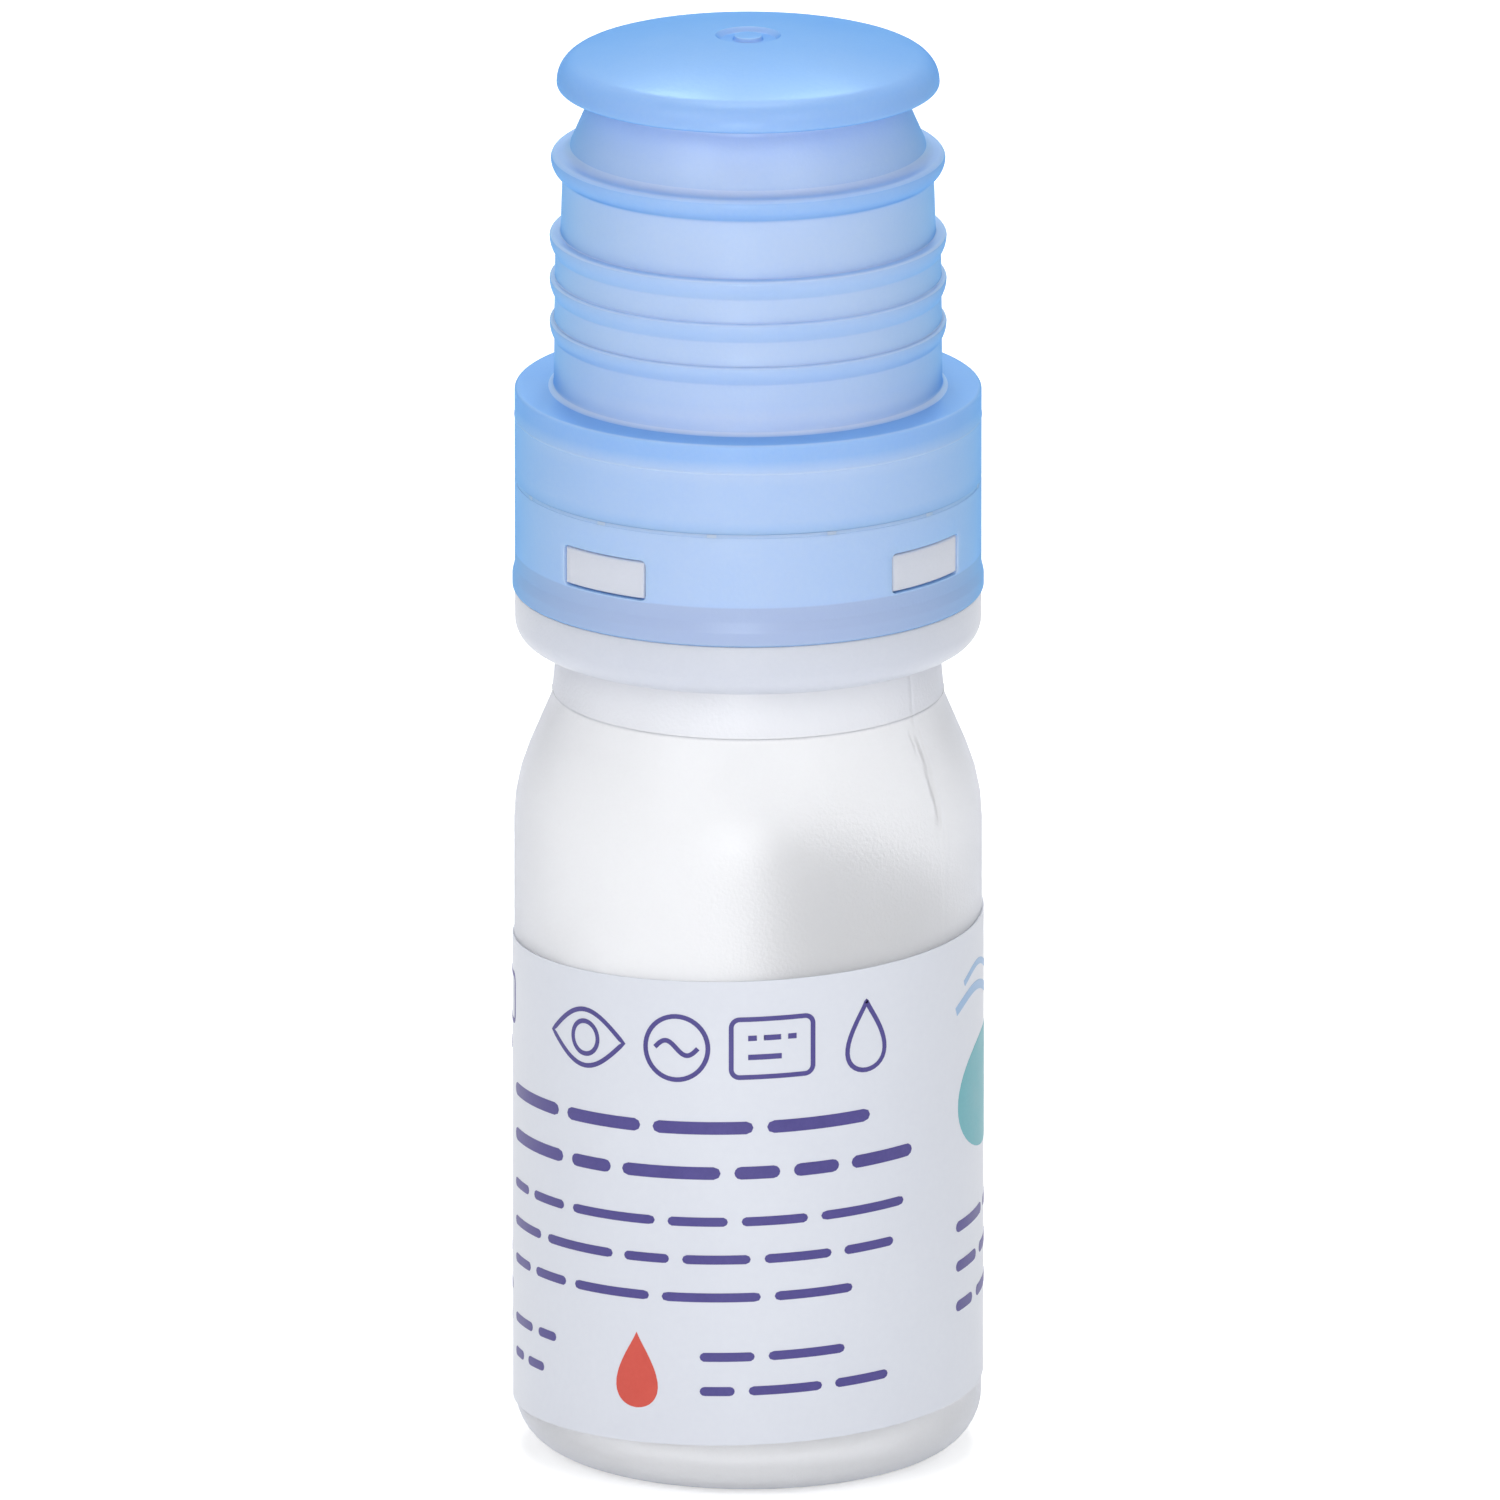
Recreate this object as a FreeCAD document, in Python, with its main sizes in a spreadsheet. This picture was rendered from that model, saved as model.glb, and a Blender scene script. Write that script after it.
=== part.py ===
import FreeCAD, Part
import math
import os
import re
import Sketcher

# Eye drop bottle for several weeks of use: a soft squeeze bottle, a pressed-on dispenser with a sprung
# outlet valve, and a pull-off cap whose tear band stays behind on the dispenser.
# Millimetres, +Z up, origin at the middle of the face that the bottle stands on.

# Name, value and meaning of each driving size. Angles are in degrees.
SIZES = (
    ("body_radius", 12.5, "bottle, outside of the straight body"),
    ("body_wall", 0.9, "bottle, wall of the blown body"),
    ("base_round", 2.8, "bottle, round between body and foot"),
    ("foot_width", 1.2, "bottle, flat ring that it stands on"),
    ("push_up", 0.6, "bottle, hollow under the base"),
    ("seam_length", 9.0, "bottle, pinched seam under the base"),
    ("seam_width", 0.5, "bottle, width of that seam"),
    ("seam_height", 0.25, "bottle, height of that seam"),
    ("seam_turn", 147.0, "bottle, direction of the parting plane"),
    ("shoulder_round", 10.0, "bottle, round from body into shoulder"),
    ("shoulder_slope", 23.0, "bottle, lean of the shoulder from upright"),
    ("crease_height", 41.6, "bottle, height of the crease between shoulder and neck"),
    ("neck_step", 0.1, "bottle, lip of the neck over the crease"),
    ("neck_taper", 0.13, "bottle, narrowing of the neck"),
    ("neck_height", 2.65, "bottle, bare neck from crease to ledge"),
    ("ledge_width", 0.62, "bottle, ledge below the snap finish"),
    ("finish_inset", 2.9, "bottle, snap finish inward from the body, which keeps the collar flush with it"),
    ("finish_height", 8.85, "bottle, snap finish from ledge to mouth"),
    ("finish_wall", 1.3, "bottle, wall of the snap finish"),
    ("mouth_round", 0.25, "bottle, round of the mouth's inner edge"),
    ("bead_depth", 0.55, "bottle, snap bead, how far it stands out"),
    ("bead_height", 1.4, "bottle, snap bead along the neck"),
    ("bead_rise", 5.75, "bottle, snap bead above the ledge"),
    ("label_height", 25.7, "label, height of the film"),
    ("label_bottom", 3.2, "label, lower edge at the front"),
    ("label_film", 0.1, "label, thickness of the film"),
    ("label_pitch", 3.0, "label, climb per turn, because it is stuck on askew"),
    ("label_turns", 0.79, "label, share of the way round that it covers"),
    ("label_end", 176.0, "label, angle from the front to its right-hand end"),
    ("glue_line", 0.02, "label, gap to the bottle"),
    ("fit_gap", 0.05, "clearance of pressed and snapped pieces"),
    ("seat_gap", 0.15, "clearance over the bottle's ledge"),
    ("snap_gap", 0.1, "clearance round the snap bead and the lugs"),
    ("collar_height", 2.9, "base, white collar that shows below the band"),
    ("collar_round", 1.3, "base, round of the collar's lower edge"),
    ("skirt_wall", 1.1, "base, wall over the snap groove"),
    ("deck_wall", 1.2, "base, deck over the bottle's mouth"),
    ("plug_depth", 3.5, "base, plug seal in the bottle's mouth"),
    ("plug_wall", 0.85, "base, wall of the plug seal"),
    ("plug_lead", 0.25, "base, lead-in of the plug seal"),
    ("throat_share", 0.34, "base, bore of the throat as a share of the bottle's bore"),
    ("throat_wall", 1.1, "base, wall of the throat"),
    ("throat_depth", 2.5, "base, throat below the deck"),
    ("upstand_height", 5.1, "base, ring that the cap clicks on"),
    ("upstand_wall", 0.9, "base, wall of that ring"),
    ("upstand_gap", 0.13, "base, clearance of that ring in the cap"),
    ("upstand_lead", 0.2, "base, lead-in of that ring"),
    ("click_depth", 0.08, "base, click bead on that ring"),
    ("click_height", 1.2, "base, click bead along that ring"),
    ("socket_height", 2.1, "base, socket for the nozzle"),
    ("socket_wall", 0.95, "base, wall of that socket"),
    ("vent_width", 0.6, "base, air vents in the deck"),
    ("vent_sweep", 6.0, "base, sweep of one vent"),
    ("vent_count", 4, "base, number of vents"),
    ("band_gap", 0.1, "band, clearance on the base"),
    ("band_wall", 1.0, "band, wall"),
    ("band_lip", 0.13, "band, rounded lip at the lower edge"),
    ("lip_height", 0.9, "band, height of that lip"),
    ("lip_round", 0.25, "band, round of the lip's lower edge"),
    ("tear_notch", 0.1, "band and cap, bevel along the tear line"),
    ("tear_gap", 0.2, "band, gap under the cap, spanned by the bridges"),
    ("bridge_width", 0.5, "band, tear bridges across the wall"),
    ("bridge_sweep", 2.6, "band, sweep of one bridge"),
    ("bridge_count", 12, "band, number of bridges"),
    ("window_rise", 2.2, "band, windows above its lower edge"),
    ("window_height", 2.2, "band, height of the windows"),
    ("window_sweep", 26.0, "band, sweep of one window"),
    ("window_count", 4, "band, number of windows"),
    ("window_turn", 51.0, "band, direction of the first window"),
    ("lug_sink", 0.06, "base, lugs below the face of the band"),
    ("cap_start", 0.4, "cap, lower edge above the bottle's mouth"),
    ("cap_wall", 0.9, "cap, wall of the shoulder skirt"),
    ("cap_skirt", 4.7, "cap, straight skirt below the shoulder"),
    ("cap_round", 0.2, "cap, round of the shoulder"),
    ("shoulder_ledge", 1.89, "cap, flat of the shoulder up to the sleeve"),
    ("sleeve_wall", 1.0, "cap, wall of the sleeve"),
    ("sleeve_taper", 0.08, "cap, narrowing of the sleeve up to the third ring"),
    ("sleeve_draft", 0.35, "cap, narrowing of the sleeve's bore"),
    ("ring_depth", 0.3, "cap, how far the three grip rings stand out"),
    ("ring_round", 1.4, "cap, round of the grip rings below"),
    ("ring_edge", 0.2, "cap, round of the grip rings' upper edge"),
    ("ring_fillet", 0.25, "cap, fillet where rings and bead meet the wall below"),
    ("ring_first", 3.57, "cap, first grip ring above the shoulder"),
    ("ring_pitch", 2.37, "cap, from one grip ring to the next"),
    ("waist_step", 0.28, "cap, step inward above the third ring"),
    ("waist_taper", 0.1, "cap, narrowing of the waist up to the large bead"),
    ("grip_depth", 0.61, "cap, how far the large bead stands out"),
    ("grip_round", 1.0, "cap, round of the large bead below"),
    ("grip_edge", 0.35, "cap, round of the large bead's upper edge"),
    ("grip_rise", 12.58, "cap, large bead above the shoulder"),
    ("stem_step", 0.45, "cap, step inward above the large bead"),
    ("stem_taper", 1.15, "cap, narrowing of the neck under the pull disc"),
    ("stem_fillet", 0.3, "cap, fillet where that neck stands on the large bead"),
    ("stem_wall", 0.95, "cap, wall of that neck"),
    ("disc_rise", 16.53, "cap, underside of the pull disc above the shoulder"),
    ("disc_fillet", 0.5, "cap, fillet under the pull disc"),
    ("disc_overhang", 1.9, "cap, how far the pull disc stands out"),
    ("disc_round", 0.2, "cap, round of the pull disc's lower edge"),
    ("disc_edge", 0.27, "cap, height of the pull disc's edge"),
    ("rim_round", 1.4, "cap, round of the pull disc's upper edge"),
    ("dome_radius", 36.0, "cap, curvature of the domed top"),
    ("dome_wall", 1.3, "cap, wall of the top"),
    ("dimple_radius", 1.75, "cap, moulding dimple in the top"),
    ("dimple_depth", 0.3, "cap, depth of the dimple"),
    ("gate_radius", 0.8, "cap, gate stub in the dimple"),
    ("nozzle_root", 4.9, "nozzle, radius of the root in its socket"),
    ("nozzle_bore", 3.75, "nozzle, bore round the valve"),
    ("nozzle_flange", 0.8, "nozzle, flange on the socket"),
    ("nozzle_neck", 4.5, "nozzle, radius at the foot of the cone"),
    ("nozzle_straight", 3.4, "nozzle, straight part above the flange"),
    ("nozzle_height", 16.1, "nozzle, tip above the deck"),
    ("tip_radius", 2.4, "nozzle, radius where the tip starts to round"),
    ("tip_round", 1.3, "nozzle, round of the tip"),
    ("tip_cup", 0.5, "nozzle, hollow that forms the drop"),
    ("orifice", 0.3, "nozzle, radius of the outlet"),
    ("seat_radius", 1.7, "nozzle, wide end of the valve seat"),
    ("seat_height", 1.6, "nozzle, length of the valve seat"),
    ("seat_depth", 1.2, "nozzle, top of the valve seat below the tip"),
    ("cup_floor", 0.9, "valve cup, thickness of the floor"),
    ("cup_height", 6.3, "valve cup, height"),
    ("cup_wall", 0.45, "valve cup, wall"),
    ("flow_gap", 0.55, "valve cup, passage for the liquid round it"),
    ("slot_reach", 1.4, "valve cup, flow slots inward from the rim"),
    ("slot_sweep", 24.0, "valve cup, sweep of one flow slot"),
    ("slot_count", 4, "valve cup, number of flow slots"),
    ("spigot_height", 0.8, "valve cup and pin, spigots that centre the spring"),
    ("slide_gap", 0.05, "valve pin, running clearance"),
    ("piston_height", 1.4, "valve pin, height of the piston"),
    ("pin_radius", 1.0, "valve pin, stem"),
    ("pin_point", 0.25, "valve pin, flat of the point"),
    ("spring_wire", 0.4, "spring, wire"),
    ("spring_gap", 0.3, "spring, clearance to cup and spigots"),
    ("spring_length", 3.7, "spring, length as fitted"),
    ("spring_turns", 4, "spring, number of turns"),
    ("end_gap", 0.03, "spring, clearance of its ends"),
    ("filter_film", 0.2, "vent filter, thickness of the membrane"),
    ("filter_share", 0.73, "vent filter, bore as a share of its outside"),
    ("restrictor_length", 2.3, "flow restrictor, length"),
    ("restrictor_bore", 0.4, "flow restrictor, fine bore"),
    ("restrictor_funnel", 1.6, "flow restrictor, mouth of the funnel"),
)

# Sizes and heights that follow from the driving sizes, each written once.
LEAN = "(shoulder_slope * 1 deg)"
FINISH_RADIUS = "(body_radius - finish_inset)"
NECK_BORE = f"({FINISH_RADIUS} - finish_wall)"
NECK_RADIUS = f"({FINISH_RADIUS} + ledge_width)"
CREASE_RADIUS = f"({NECK_RADIUS} + neck_taper)"
SHOULDER_DROP = f"(shoulder_round * (1 - cos({LEAN})))"
SHOULDER_FOOT = (f"(crease_height - shoulder_round * sin({LEAN})"
                 f" - (body_radius - {CREASE_RADIUS} - {SHOULDER_DROP}) / tan({LEAN}))")
LEDGE = "(crease_height + neck_height)"
MOUTH = f"({LEDGE} + finish_height)"
BEAD_RADIUS = f"({FINISH_RADIUS} + bead_depth)"
BEAD_FOOT = f"({LEDGE} + bead_rise)"
SKIRT_BORE = f"({FINISH_RADIUS} + fit_gap)"
SKIRT_RADIUS = f"({BEAD_RADIUS} + snap_gap + skirt_wall)"
BAND_BORE = f"({SKIRT_RADIUS} + band_gap)"
BAND_RADIUS = f"({BAND_BORE} + band_wall)"
COLLAR_FOOT = f"({LEDGE} + seat_gap)"
BAND_SEAT = f"({COLLAR_FOOT} + collar_height)"
CAP_FOOT = f"({MOUTH} + cap_start)"
BAND_TOP = f"({CAP_FOOT} - tear_gap)"
WINDOW_FOOT = f"({BAND_SEAT} + window_rise)"
WINDOW_TOP = f"({WINDOW_FOOT} + window_height)"
DECK = f"({MOUTH} + deck_wall)"
CAP_SHOULDER = f"({CAP_FOOT} + cap_skirt + cap_round)"
SLEEVE_FOOT = f"({BAND_RADIUS} - cap_round - shoulder_ledge)"
SLEEVE_TOP = f"({SLEEVE_FOOT} - sleeve_taper)"
SLEEVE_BORE = f"({SLEEVE_FOOT} - sleeve_wall)"
WAIST_FOOT = f"({SLEEVE_TOP} - waist_step)"
WAIST_TOP = f"({WAIST_FOOT} - waist_taper)"
STEM_FOOT = f"({WAIST_TOP} - stem_step)"
STEM_TOP = f"({STEM_FOOT} - stem_taper)"
FIRST_RING = f"({CAP_SHOULDER} + ring_first)"
GRIP = f"({CAP_SHOULDER} + grip_rise)"
GRIP_TOP = f"({GRIP} + grip_edge)"
DISC_FOOT = f"({CAP_SHOULDER} + disc_rise)"
RIM = f"({DISC_FOOT} + disc_edge)"
DISC_REACH = f"({STEM_TOP} + disc_overhang)"
RIM_CENTRE = f"({DISC_REACH} - rim_round)"
DOME_CENTRE = f"({RIM} - sqrt((dome_radius - rim_round)^2 - {RIM_CENTRE}^2))"
DOME_SHARE = "(dome_radius / (dome_radius - rim_round))"
DOME_TOP = f"({DOME_CENTRE} + dome_radius)"
CEILING_RADIUS = "(dome_radius - dome_wall)"
UPSTAND_RADIUS = f"({SLEEVE_BORE} - upstand_gap)"
PLUG_RADIUS = f"({NECK_BORE} - fit_gap)"
PLUG_BORE = f"({PLUG_RADIUS} - plug_wall)"
THROAT_BORE = f"(throat_share * {NECK_BORE})"
THROAT_RADIUS = f"({THROAT_BORE} + throat_wall)"
FILTER_RADIUS = f"({PLUG_BORE} - fit_gap)"
FILTER_BORE = f"(filter_share * {FILTER_RADIUS})"
VENT_CENTRE = f"(({FILTER_RADIUS} + {FILTER_BORE}) / 2)"
SOCKET_BORE = "(nozzle_root + fit_gap)"
SOCKET_RADIUS = f"({SOCKET_BORE} + socket_wall)"
SOCKET_TOP = f"({DECK} + socket_height)"
NOZZLE_TIP = f"({DECK} + nozzle_height)"
SEAT_TOP = f"({NOZZLE_TIP} - seat_depth)"
CUP_RADIUS = "(nozzle_bore - flow_gap)"
CUP_BORE = f"({CUP_RADIUS} - cup_wall)"
CUP_FLOOR = f"({DECK} + cup_floor)"
PISTON_FOOT = f"({CUP_FLOOR} + spring_length)"
PISTON_TOP = f"({PISTON_FOOT} + piston_height)"
SPRING_RADIUS = f"({CUP_BORE} - spring_gap - spring_wire / 2)"
SPIGOT_RADIUS = f"({SPRING_RADIUS} - spring_wire / 2 - spring_gap)"
POINT_TOP = f"({SEAT_TOP} - fit_gap)"
POINT_HEIGHT = "((pin_radius - pin_point) * seat_height / (seat_radius - orifice))"

# Which way an arc bends, seen along the outline.
LEFT = 1
RIGHT = -1
ROUND = "360"

doc = FreeCAD.newDocument("eye_drop_bottle")
sheet = doc.addObject("Spreadsheet::Sheet", "sizes")
for row, (alias, number, meaning) in enumerate(SIZES, start=1):
    sheet.set(f"A{row}", meaning)
    sheet.set(f"B{row}", str(number))
    sheet.setAlias(f"B{row}", alias)
doc.recompute()
ALIASES = {alias for alias, number, meaning in SIZES}


def bound(formula):
    """The formula with each size read from the sheet."""
    return re.sub(r"[a-z_]+", lambda word: "sizes." * (word[0] in ALIASES) + word[0], formula)


def value(formula):
    """What the formula comes to with the sizes as they are now."""
    return float(sheet.evalExpression(formula))


def new_body(label):
    body = doc.addObject("PartDesign::Body", label)
    body.Label = label
    return body


def origin_feature(body, role):
    return next(item for item in body.Origin.OriginFeatures if item.Role == role)


def new_sketch(body, name, plane="XZ_Plane"):
    sketch = body.newObject("Sketcher::SketchObject", name)
    sketch.AttachmentSupport = (origin_feature(body, plane), "")
    sketch.MapMode = "FlatFace"
    return sketch


def constrain(sketch, name, formula, kind, *where):
    """A dimension of the sketch, tied to the formula."""
    index = sketch.addConstraint(Sketcher.Constraint(kind, *where, value(formula)))
    sketch.renameConstraint(index, name)
    sketch.setExpression(f"Constraints.{name}", bound(formula))


def pin_point(sketch, name, place, edge, end):
    """Fix one end of an edge at (across, up), each a formula; 0 puts it on the sketch's axis."""
    for axis, kind, formula in ((-2, "DistanceX", place[0]), (-1, "DistanceY", place[1])):
        if formula == "0":
            sketch.addConstraint(Sketcher.Constraint("PointOnObject", edge, end, axis))
        else:
            constrain(sketch, f"{name}_{kind}", formula, kind, -1, 1, edge, end)


def arc_between(start, end, radius, turn):
    """The shorter arc from start to end, with the numbers of its first and last point."""
    chord = end - start
    rise = math.sqrt(max(radius ** 2 - chord.Length ** 2 / 4, 0)) * turn / chord.Length
    centre = (start + end) / 2 + FreeCAD.Vector(-chord.y, chord.x, 0) * rise
    first, last = (start, end) if turn == LEFT else (end, start)
    circle = Part.Circle(centre, FreeCAD.Vector(0, 0, 1), radius)
    arc = Part.ArcOfCircle(circle, circle.parameter(first), circle.parameter(last))
    return arc, ((1, 2) if turn == LEFT else (2, 1))


def draw_outline(sketch, corners):
    """A closed outline. A corner is (across, up), or (across, up, radius, turn) at the end of an arc."""
    places = [FreeCAD.Vector(value(corner[0]), value(corner[1]), 0) for corner in corners]
    edges = []
    for number, corner in enumerate(corners):
        piece, ends = Part.LineSegment(places[number - 1], places[number]), (1, 2)
        if len(corner) == 4:
            piece, ends = arc_between(places[number - 1], places[number], value(corner[2]), corner[3])
        edges.append((sketch.addGeometry(piece), *ends))
    for number, (edge, first, last) in enumerate(edges):
        before = edges[number - 1]
        sketch.addConstraint(Sketcher.Constraint("Coincident", before[0], before[2], edge, first))
    for number, (edge, first, last) in enumerate(edges):
        pin_point(sketch, f"corner{number}", corners[number], edge, last)
        if len(corners[number]) == 4:
            constrain(sketch, f"bend{number}", corners[number][2], "Radius", edge)


def draw_circle(sketch, name, across, up, radius):
    centre = FreeCAD.Vector(value(across), value(up), 0)
    ring = sketch.addGeometry(Part.Circle(centre, FreeCAD.Vector(0, 0, 1), value(radius)))
    pin_point(sketch, name, (across, up), ring, 3)
    constrain(sketch, f"{name}_radius", radius, "Radius", ring)


def turn_sketch(body, name, sketch, kind="Revolution", sweep=ROUND):
    """Turn a section about the axis, all the way round or for the sweep given, evenly to both sides."""
    feature = body.newObject(f"PartDesign::{kind}", name)
    feature.Profile = sketch
    feature.ReferenceAxis = (sketch, ["V_Axis"])
    feature.setExpression("Angle", bound(sweep))
    feature.Midplane = sweep != ROUND
    sketch.Visibility = False
    return feature


def turned(body, name, corners, kind="Revolution", sweep=ROUND):
    sketch = new_sketch(body, f"{name}_section")
    draw_outline(sketch, corners)
    return turn_sketch(body, name, sketch, kind, sweep)


def ring_section(inner, outer, foot, top):
    """A rectangle for a ring or a part of one."""
    return [(inner, foot), (outer, foot), (outer, top), (inner, top)]


def repeat_round(body, feature, count):
    pattern = body.newObject("PartDesign::PolarPattern", f"{feature.Name}_pattern")
    pattern.Originals = [feature]
    pattern.Axis = (origin_feature(body, "Z_Axis"), [""])
    pattern.Angle = 360
    pattern.setExpression("Occurrences", bound(count))
    body.Tip = pattern


def turn_body(body, angle):
    """Stand the body at an angle about the upright axis."""
    body.Placement.Rotation = FreeCAD.Rotation(FreeCAD.Vector(0, 0, 1), value(angle))
    body.setExpression("Placement.Rotation.Angle", f"({bound(angle)}) * 1 deg")


def bottle():
    body = new_body("bottle")
    foot_round = "(body_radius - base_round)"
    foot_inner = f"({foot_round} - foot_width)"
    floor = "(push_up + body_wall)"
    floor_round = "(base_round - body_wall)"
    inside = "(body_radius - body_wall)"
    bend = f"(body_radius - {SHOULDER_DROP})"
    bend_height = f"({SHOULDER_FOOT} + shoulder_round * sin({LEAN}))"
    inner_round = "(shoulder_round - body_wall)"
    inner_bend = f"({bend} - body_wall * cos({LEAN}))"
    inner_bend_height = f"({bend_height} - body_wall * sin({LEAN}))"
    turned(body, "bottle_wall", [
        ("0", "push_up"),
        (f"{foot_inner} - 2 * push_up", "push_up"),
        (foot_inner, "0"),
        (foot_round, "0"),
        ("body_radius", "base_round", "base_round", LEFT),
        ("body_radius", SHOULDER_FOOT),
        (bend, bend_height, "shoulder_round", LEFT),
        (CREASE_RADIUS, "crease_height"),
        (f"{CREASE_RADIUS} + neck_step", "crease_height"),
        (NECK_RADIUS, LEDGE),
        (FINISH_RADIUS, LEDGE),
        (FINISH_RADIUS, BEAD_FOOT),
        (BEAD_RADIUS, f"{BEAD_FOOT} + 0.1 * bead_height"),
        (BEAD_RADIUS, f"{BEAD_FOOT} + 0.4 * bead_height"),
        (FINISH_RADIUS, f"{BEAD_FOOT} + bead_height"),
        (FINISH_RADIUS, MOUTH),
        (f"{NECK_BORE} + mouth_round", MOUTH),
        (NECK_BORE, f"{MOUTH} - mouth_round", "mouth_round", LEFT),
        (NECK_BORE, f"{inner_bend_height} + ({inner_bend} - {NECK_BORE}) / tan({LEAN})"),
        (inner_bend, inner_bend_height),
        (inside, SHOULDER_FOOT, inner_round, RIGHT),
        (inside, f"{floor} + {floor_round}"),
        (f"{inside} - {floor_round}", floor, floor_round, RIGHT),
        ("0", floor),
    ])
    seam = new_sketch(body, "pinched_seam_outline")
    draw_outline(seam, ring_section("-seam_length / 2", "seam_length / 2", "push_up - seam_height",
                                    "push_up + body_wall / 2"))
    pad = body.newObject("PartDesign::Pad", "pinched_seam")
    pad.Profile = seam
    pad.Midplane = True
    pad.setExpression("Length", bound("seam_width"))
    turn_body(body, "seam_turn")
    return body


def label():
    body = new_body("label")
    sketch = new_sketch(body, "film_section")
    inner = "(body_radius + glue_line)"
    foot = "(label_bottom - label_pitch * (label_turns - label_end / 360))"
    draw_outline(sketch, ring_section(inner, f"{inner} + label_film", foot, f"{foot} + label_height"))
    film = body.newObject("PartDesign::AdditiveHelix", "film")
    film.Profile = sketch
    film.ReferenceAxis = (sketch, ["V_Axis"])
    film.Mode = "pitch-turns-angle"
    film.setExpression("Pitch", bound("label_pitch"))
    film.setExpression("Turns", bound("label_turns"))
    turn_body(body, "label_end + 270 - 360 * label_turns")
    return body


def dispenser_base():
    body = new_body("dispenser_base")
    click = f"({DECK} + upstand_height - 2 * click_height)"
    upstand_bore = f"({UPSTAND_RADIUS} - upstand_wall)"
    groove = f"({BEAD_RADIUS} + snap_gap)"
    turned(body, "base_wall", [
        (SKIRT_BORE, COLLAR_FOOT),
        (f"{BAND_RADIUS} - collar_round", COLLAR_FOOT),
        (BAND_RADIUS, f"{COLLAR_FOOT} + collar_round", "collar_round", LEFT),
        (BAND_RADIUS, BAND_SEAT),
        (SKIRT_RADIUS, BAND_SEAT),
        (SKIRT_RADIUS, DECK),
        (UPSTAND_RADIUS, DECK),
        (UPSTAND_RADIUS, click),
        (f"{UPSTAND_RADIUS} + click_depth", f"{click} + click_height / 2"),
        (UPSTAND_RADIUS, f"{click} + click_height"),
        (UPSTAND_RADIUS, f"{DECK} + upstand_height - 2 * upstand_lead"),
        (f"{UPSTAND_RADIUS} - upstand_lead", f"{DECK} + upstand_height"),
        (upstand_bore, f"{DECK} + upstand_height"),
        (upstand_bore, DECK),
        (SOCKET_RADIUS, DECK),
        (SOCKET_RADIUS, SOCKET_TOP),
        (SOCKET_BORE, SOCKET_TOP),
        (SOCKET_BORE, DECK),
        (THROAT_BORE, DECK),
        (THROAT_BORE, f"{MOUTH} - throat_depth"),
        (THROAT_RADIUS, f"{MOUTH} - throat_depth"),
        (THROAT_RADIUS, MOUTH),
        (PLUG_BORE, MOUTH),
        (PLUG_BORE, f"{MOUTH} - plug_depth"),
        (f"{PLUG_RADIUS} - plug_lead", f"{MOUTH} - plug_depth"),
        (PLUG_RADIUS, f"{MOUTH} - plug_depth + 2 * plug_lead"),
        (PLUG_RADIUS, MOUTH),
        (SKIRT_BORE, MOUTH),
        (SKIRT_BORE, f"{BEAD_FOOT} + bead_height + snap_gap"),
        (groove, f"{BEAD_FOOT} + 0.4 * bead_height + snap_gap"),
        (groove, f"{BEAD_FOOT} - snap_gap"),
        (SKIRT_BORE, f"{BEAD_FOOT} - snap_gap"),
    ])
    lug_sweep = f"window_sweep - 2 * snap_gap / {BAND_RADIUS} * 180 / pi"
    lug = turned(body, "lug", ring_section(f"{SKIRT_RADIUS} - skirt_wall / 2", f"{BAND_RADIUS} - lug_sink",
                                           f"{WINDOW_FOOT} + snap_gap", f"{WINDOW_TOP} - snap_gap"),
                 sweep=lug_sweep)
    repeat_round(body, lug, "window_count")
    vent_section = ring_section(f"{VENT_CENTRE} - vent_width / 2", f"{VENT_CENTRE} + vent_width / 2",
                                f"{MOUTH} - deck_wall", f"{DECK} + deck_wall")
    vent = turned(body, "vent", vent_section, "Groove", "vent_sweep")
    repeat_round(body, vent, "vent_count")
    turn_body(body, "window_turn")
    return body


def tamper_band():
    body = new_body("tamper_band")
    lip = f"({BAND_RADIUS} + band_lip)"
    turned(body, "band_wall_ring", [
        (BAND_BORE, BAND_SEAT),
        (f"{lip} - lip_round", BAND_SEAT),
        (lip, f"{BAND_SEAT} + lip_round", "lip_round", LEFT),
        (lip, f"{BAND_SEAT} + lip_height / 2"),
        (BAND_RADIUS, f"{BAND_SEAT} + 1.5 * lip_height"),
        (BAND_RADIUS, f"{BAND_TOP} - 2 * tear_notch"),
        (f"{BAND_RADIUS} - tear_notch", BAND_TOP),
        (BAND_BORE, BAND_TOP),
    ])
    window = turned(body, "window", ring_section(f"{BAND_BORE} - band_wall", f"{lip} + band_wall",
                                                 WINDOW_FOOT, WINDOW_TOP), "Groove", "window_sweep")
    repeat_round(body, window, "window_count")
    bridge_foot = f"({BAND_BORE} + (band_wall - bridge_width) / 2)"
    bridge = turned(body, "bridge", ring_section(bridge_foot, f"{bridge_foot} + bridge_width",
                                                 f"{BAND_TOP} - tear_gap", CAP_FOOT), sweep="bridge_sweep")
    repeat_round(body, bridge, "bridge_count")
    turn_body(body, "window_turn")
    return body


def bump(height, reach, bend, edge, below, above):
    """Corners of a ring that stands out from the wall: filleted and round below, with a flat top."""
    span = f"({bend} + ring_fillet)"
    drop = f"sqrt({span}^2 - ({span} - {reach} + {below})^2)"
    share = f"({bend} / {span})"
    return [
        (below, f"{height} - {drop}"),
        (f"{reach} - {bend} + ({below} + ring_fillet - {reach} + {bend}) * {share}",
         f"{height} - {drop} * {share}", "ring_fillet", RIGHT),
        (reach, height, bend, LEFT),
        (f"{reach} - {edge}", f"{height} + {edge}", edge, LEFT),
        (above, f"{height} + {edge}"),
    ]


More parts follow.
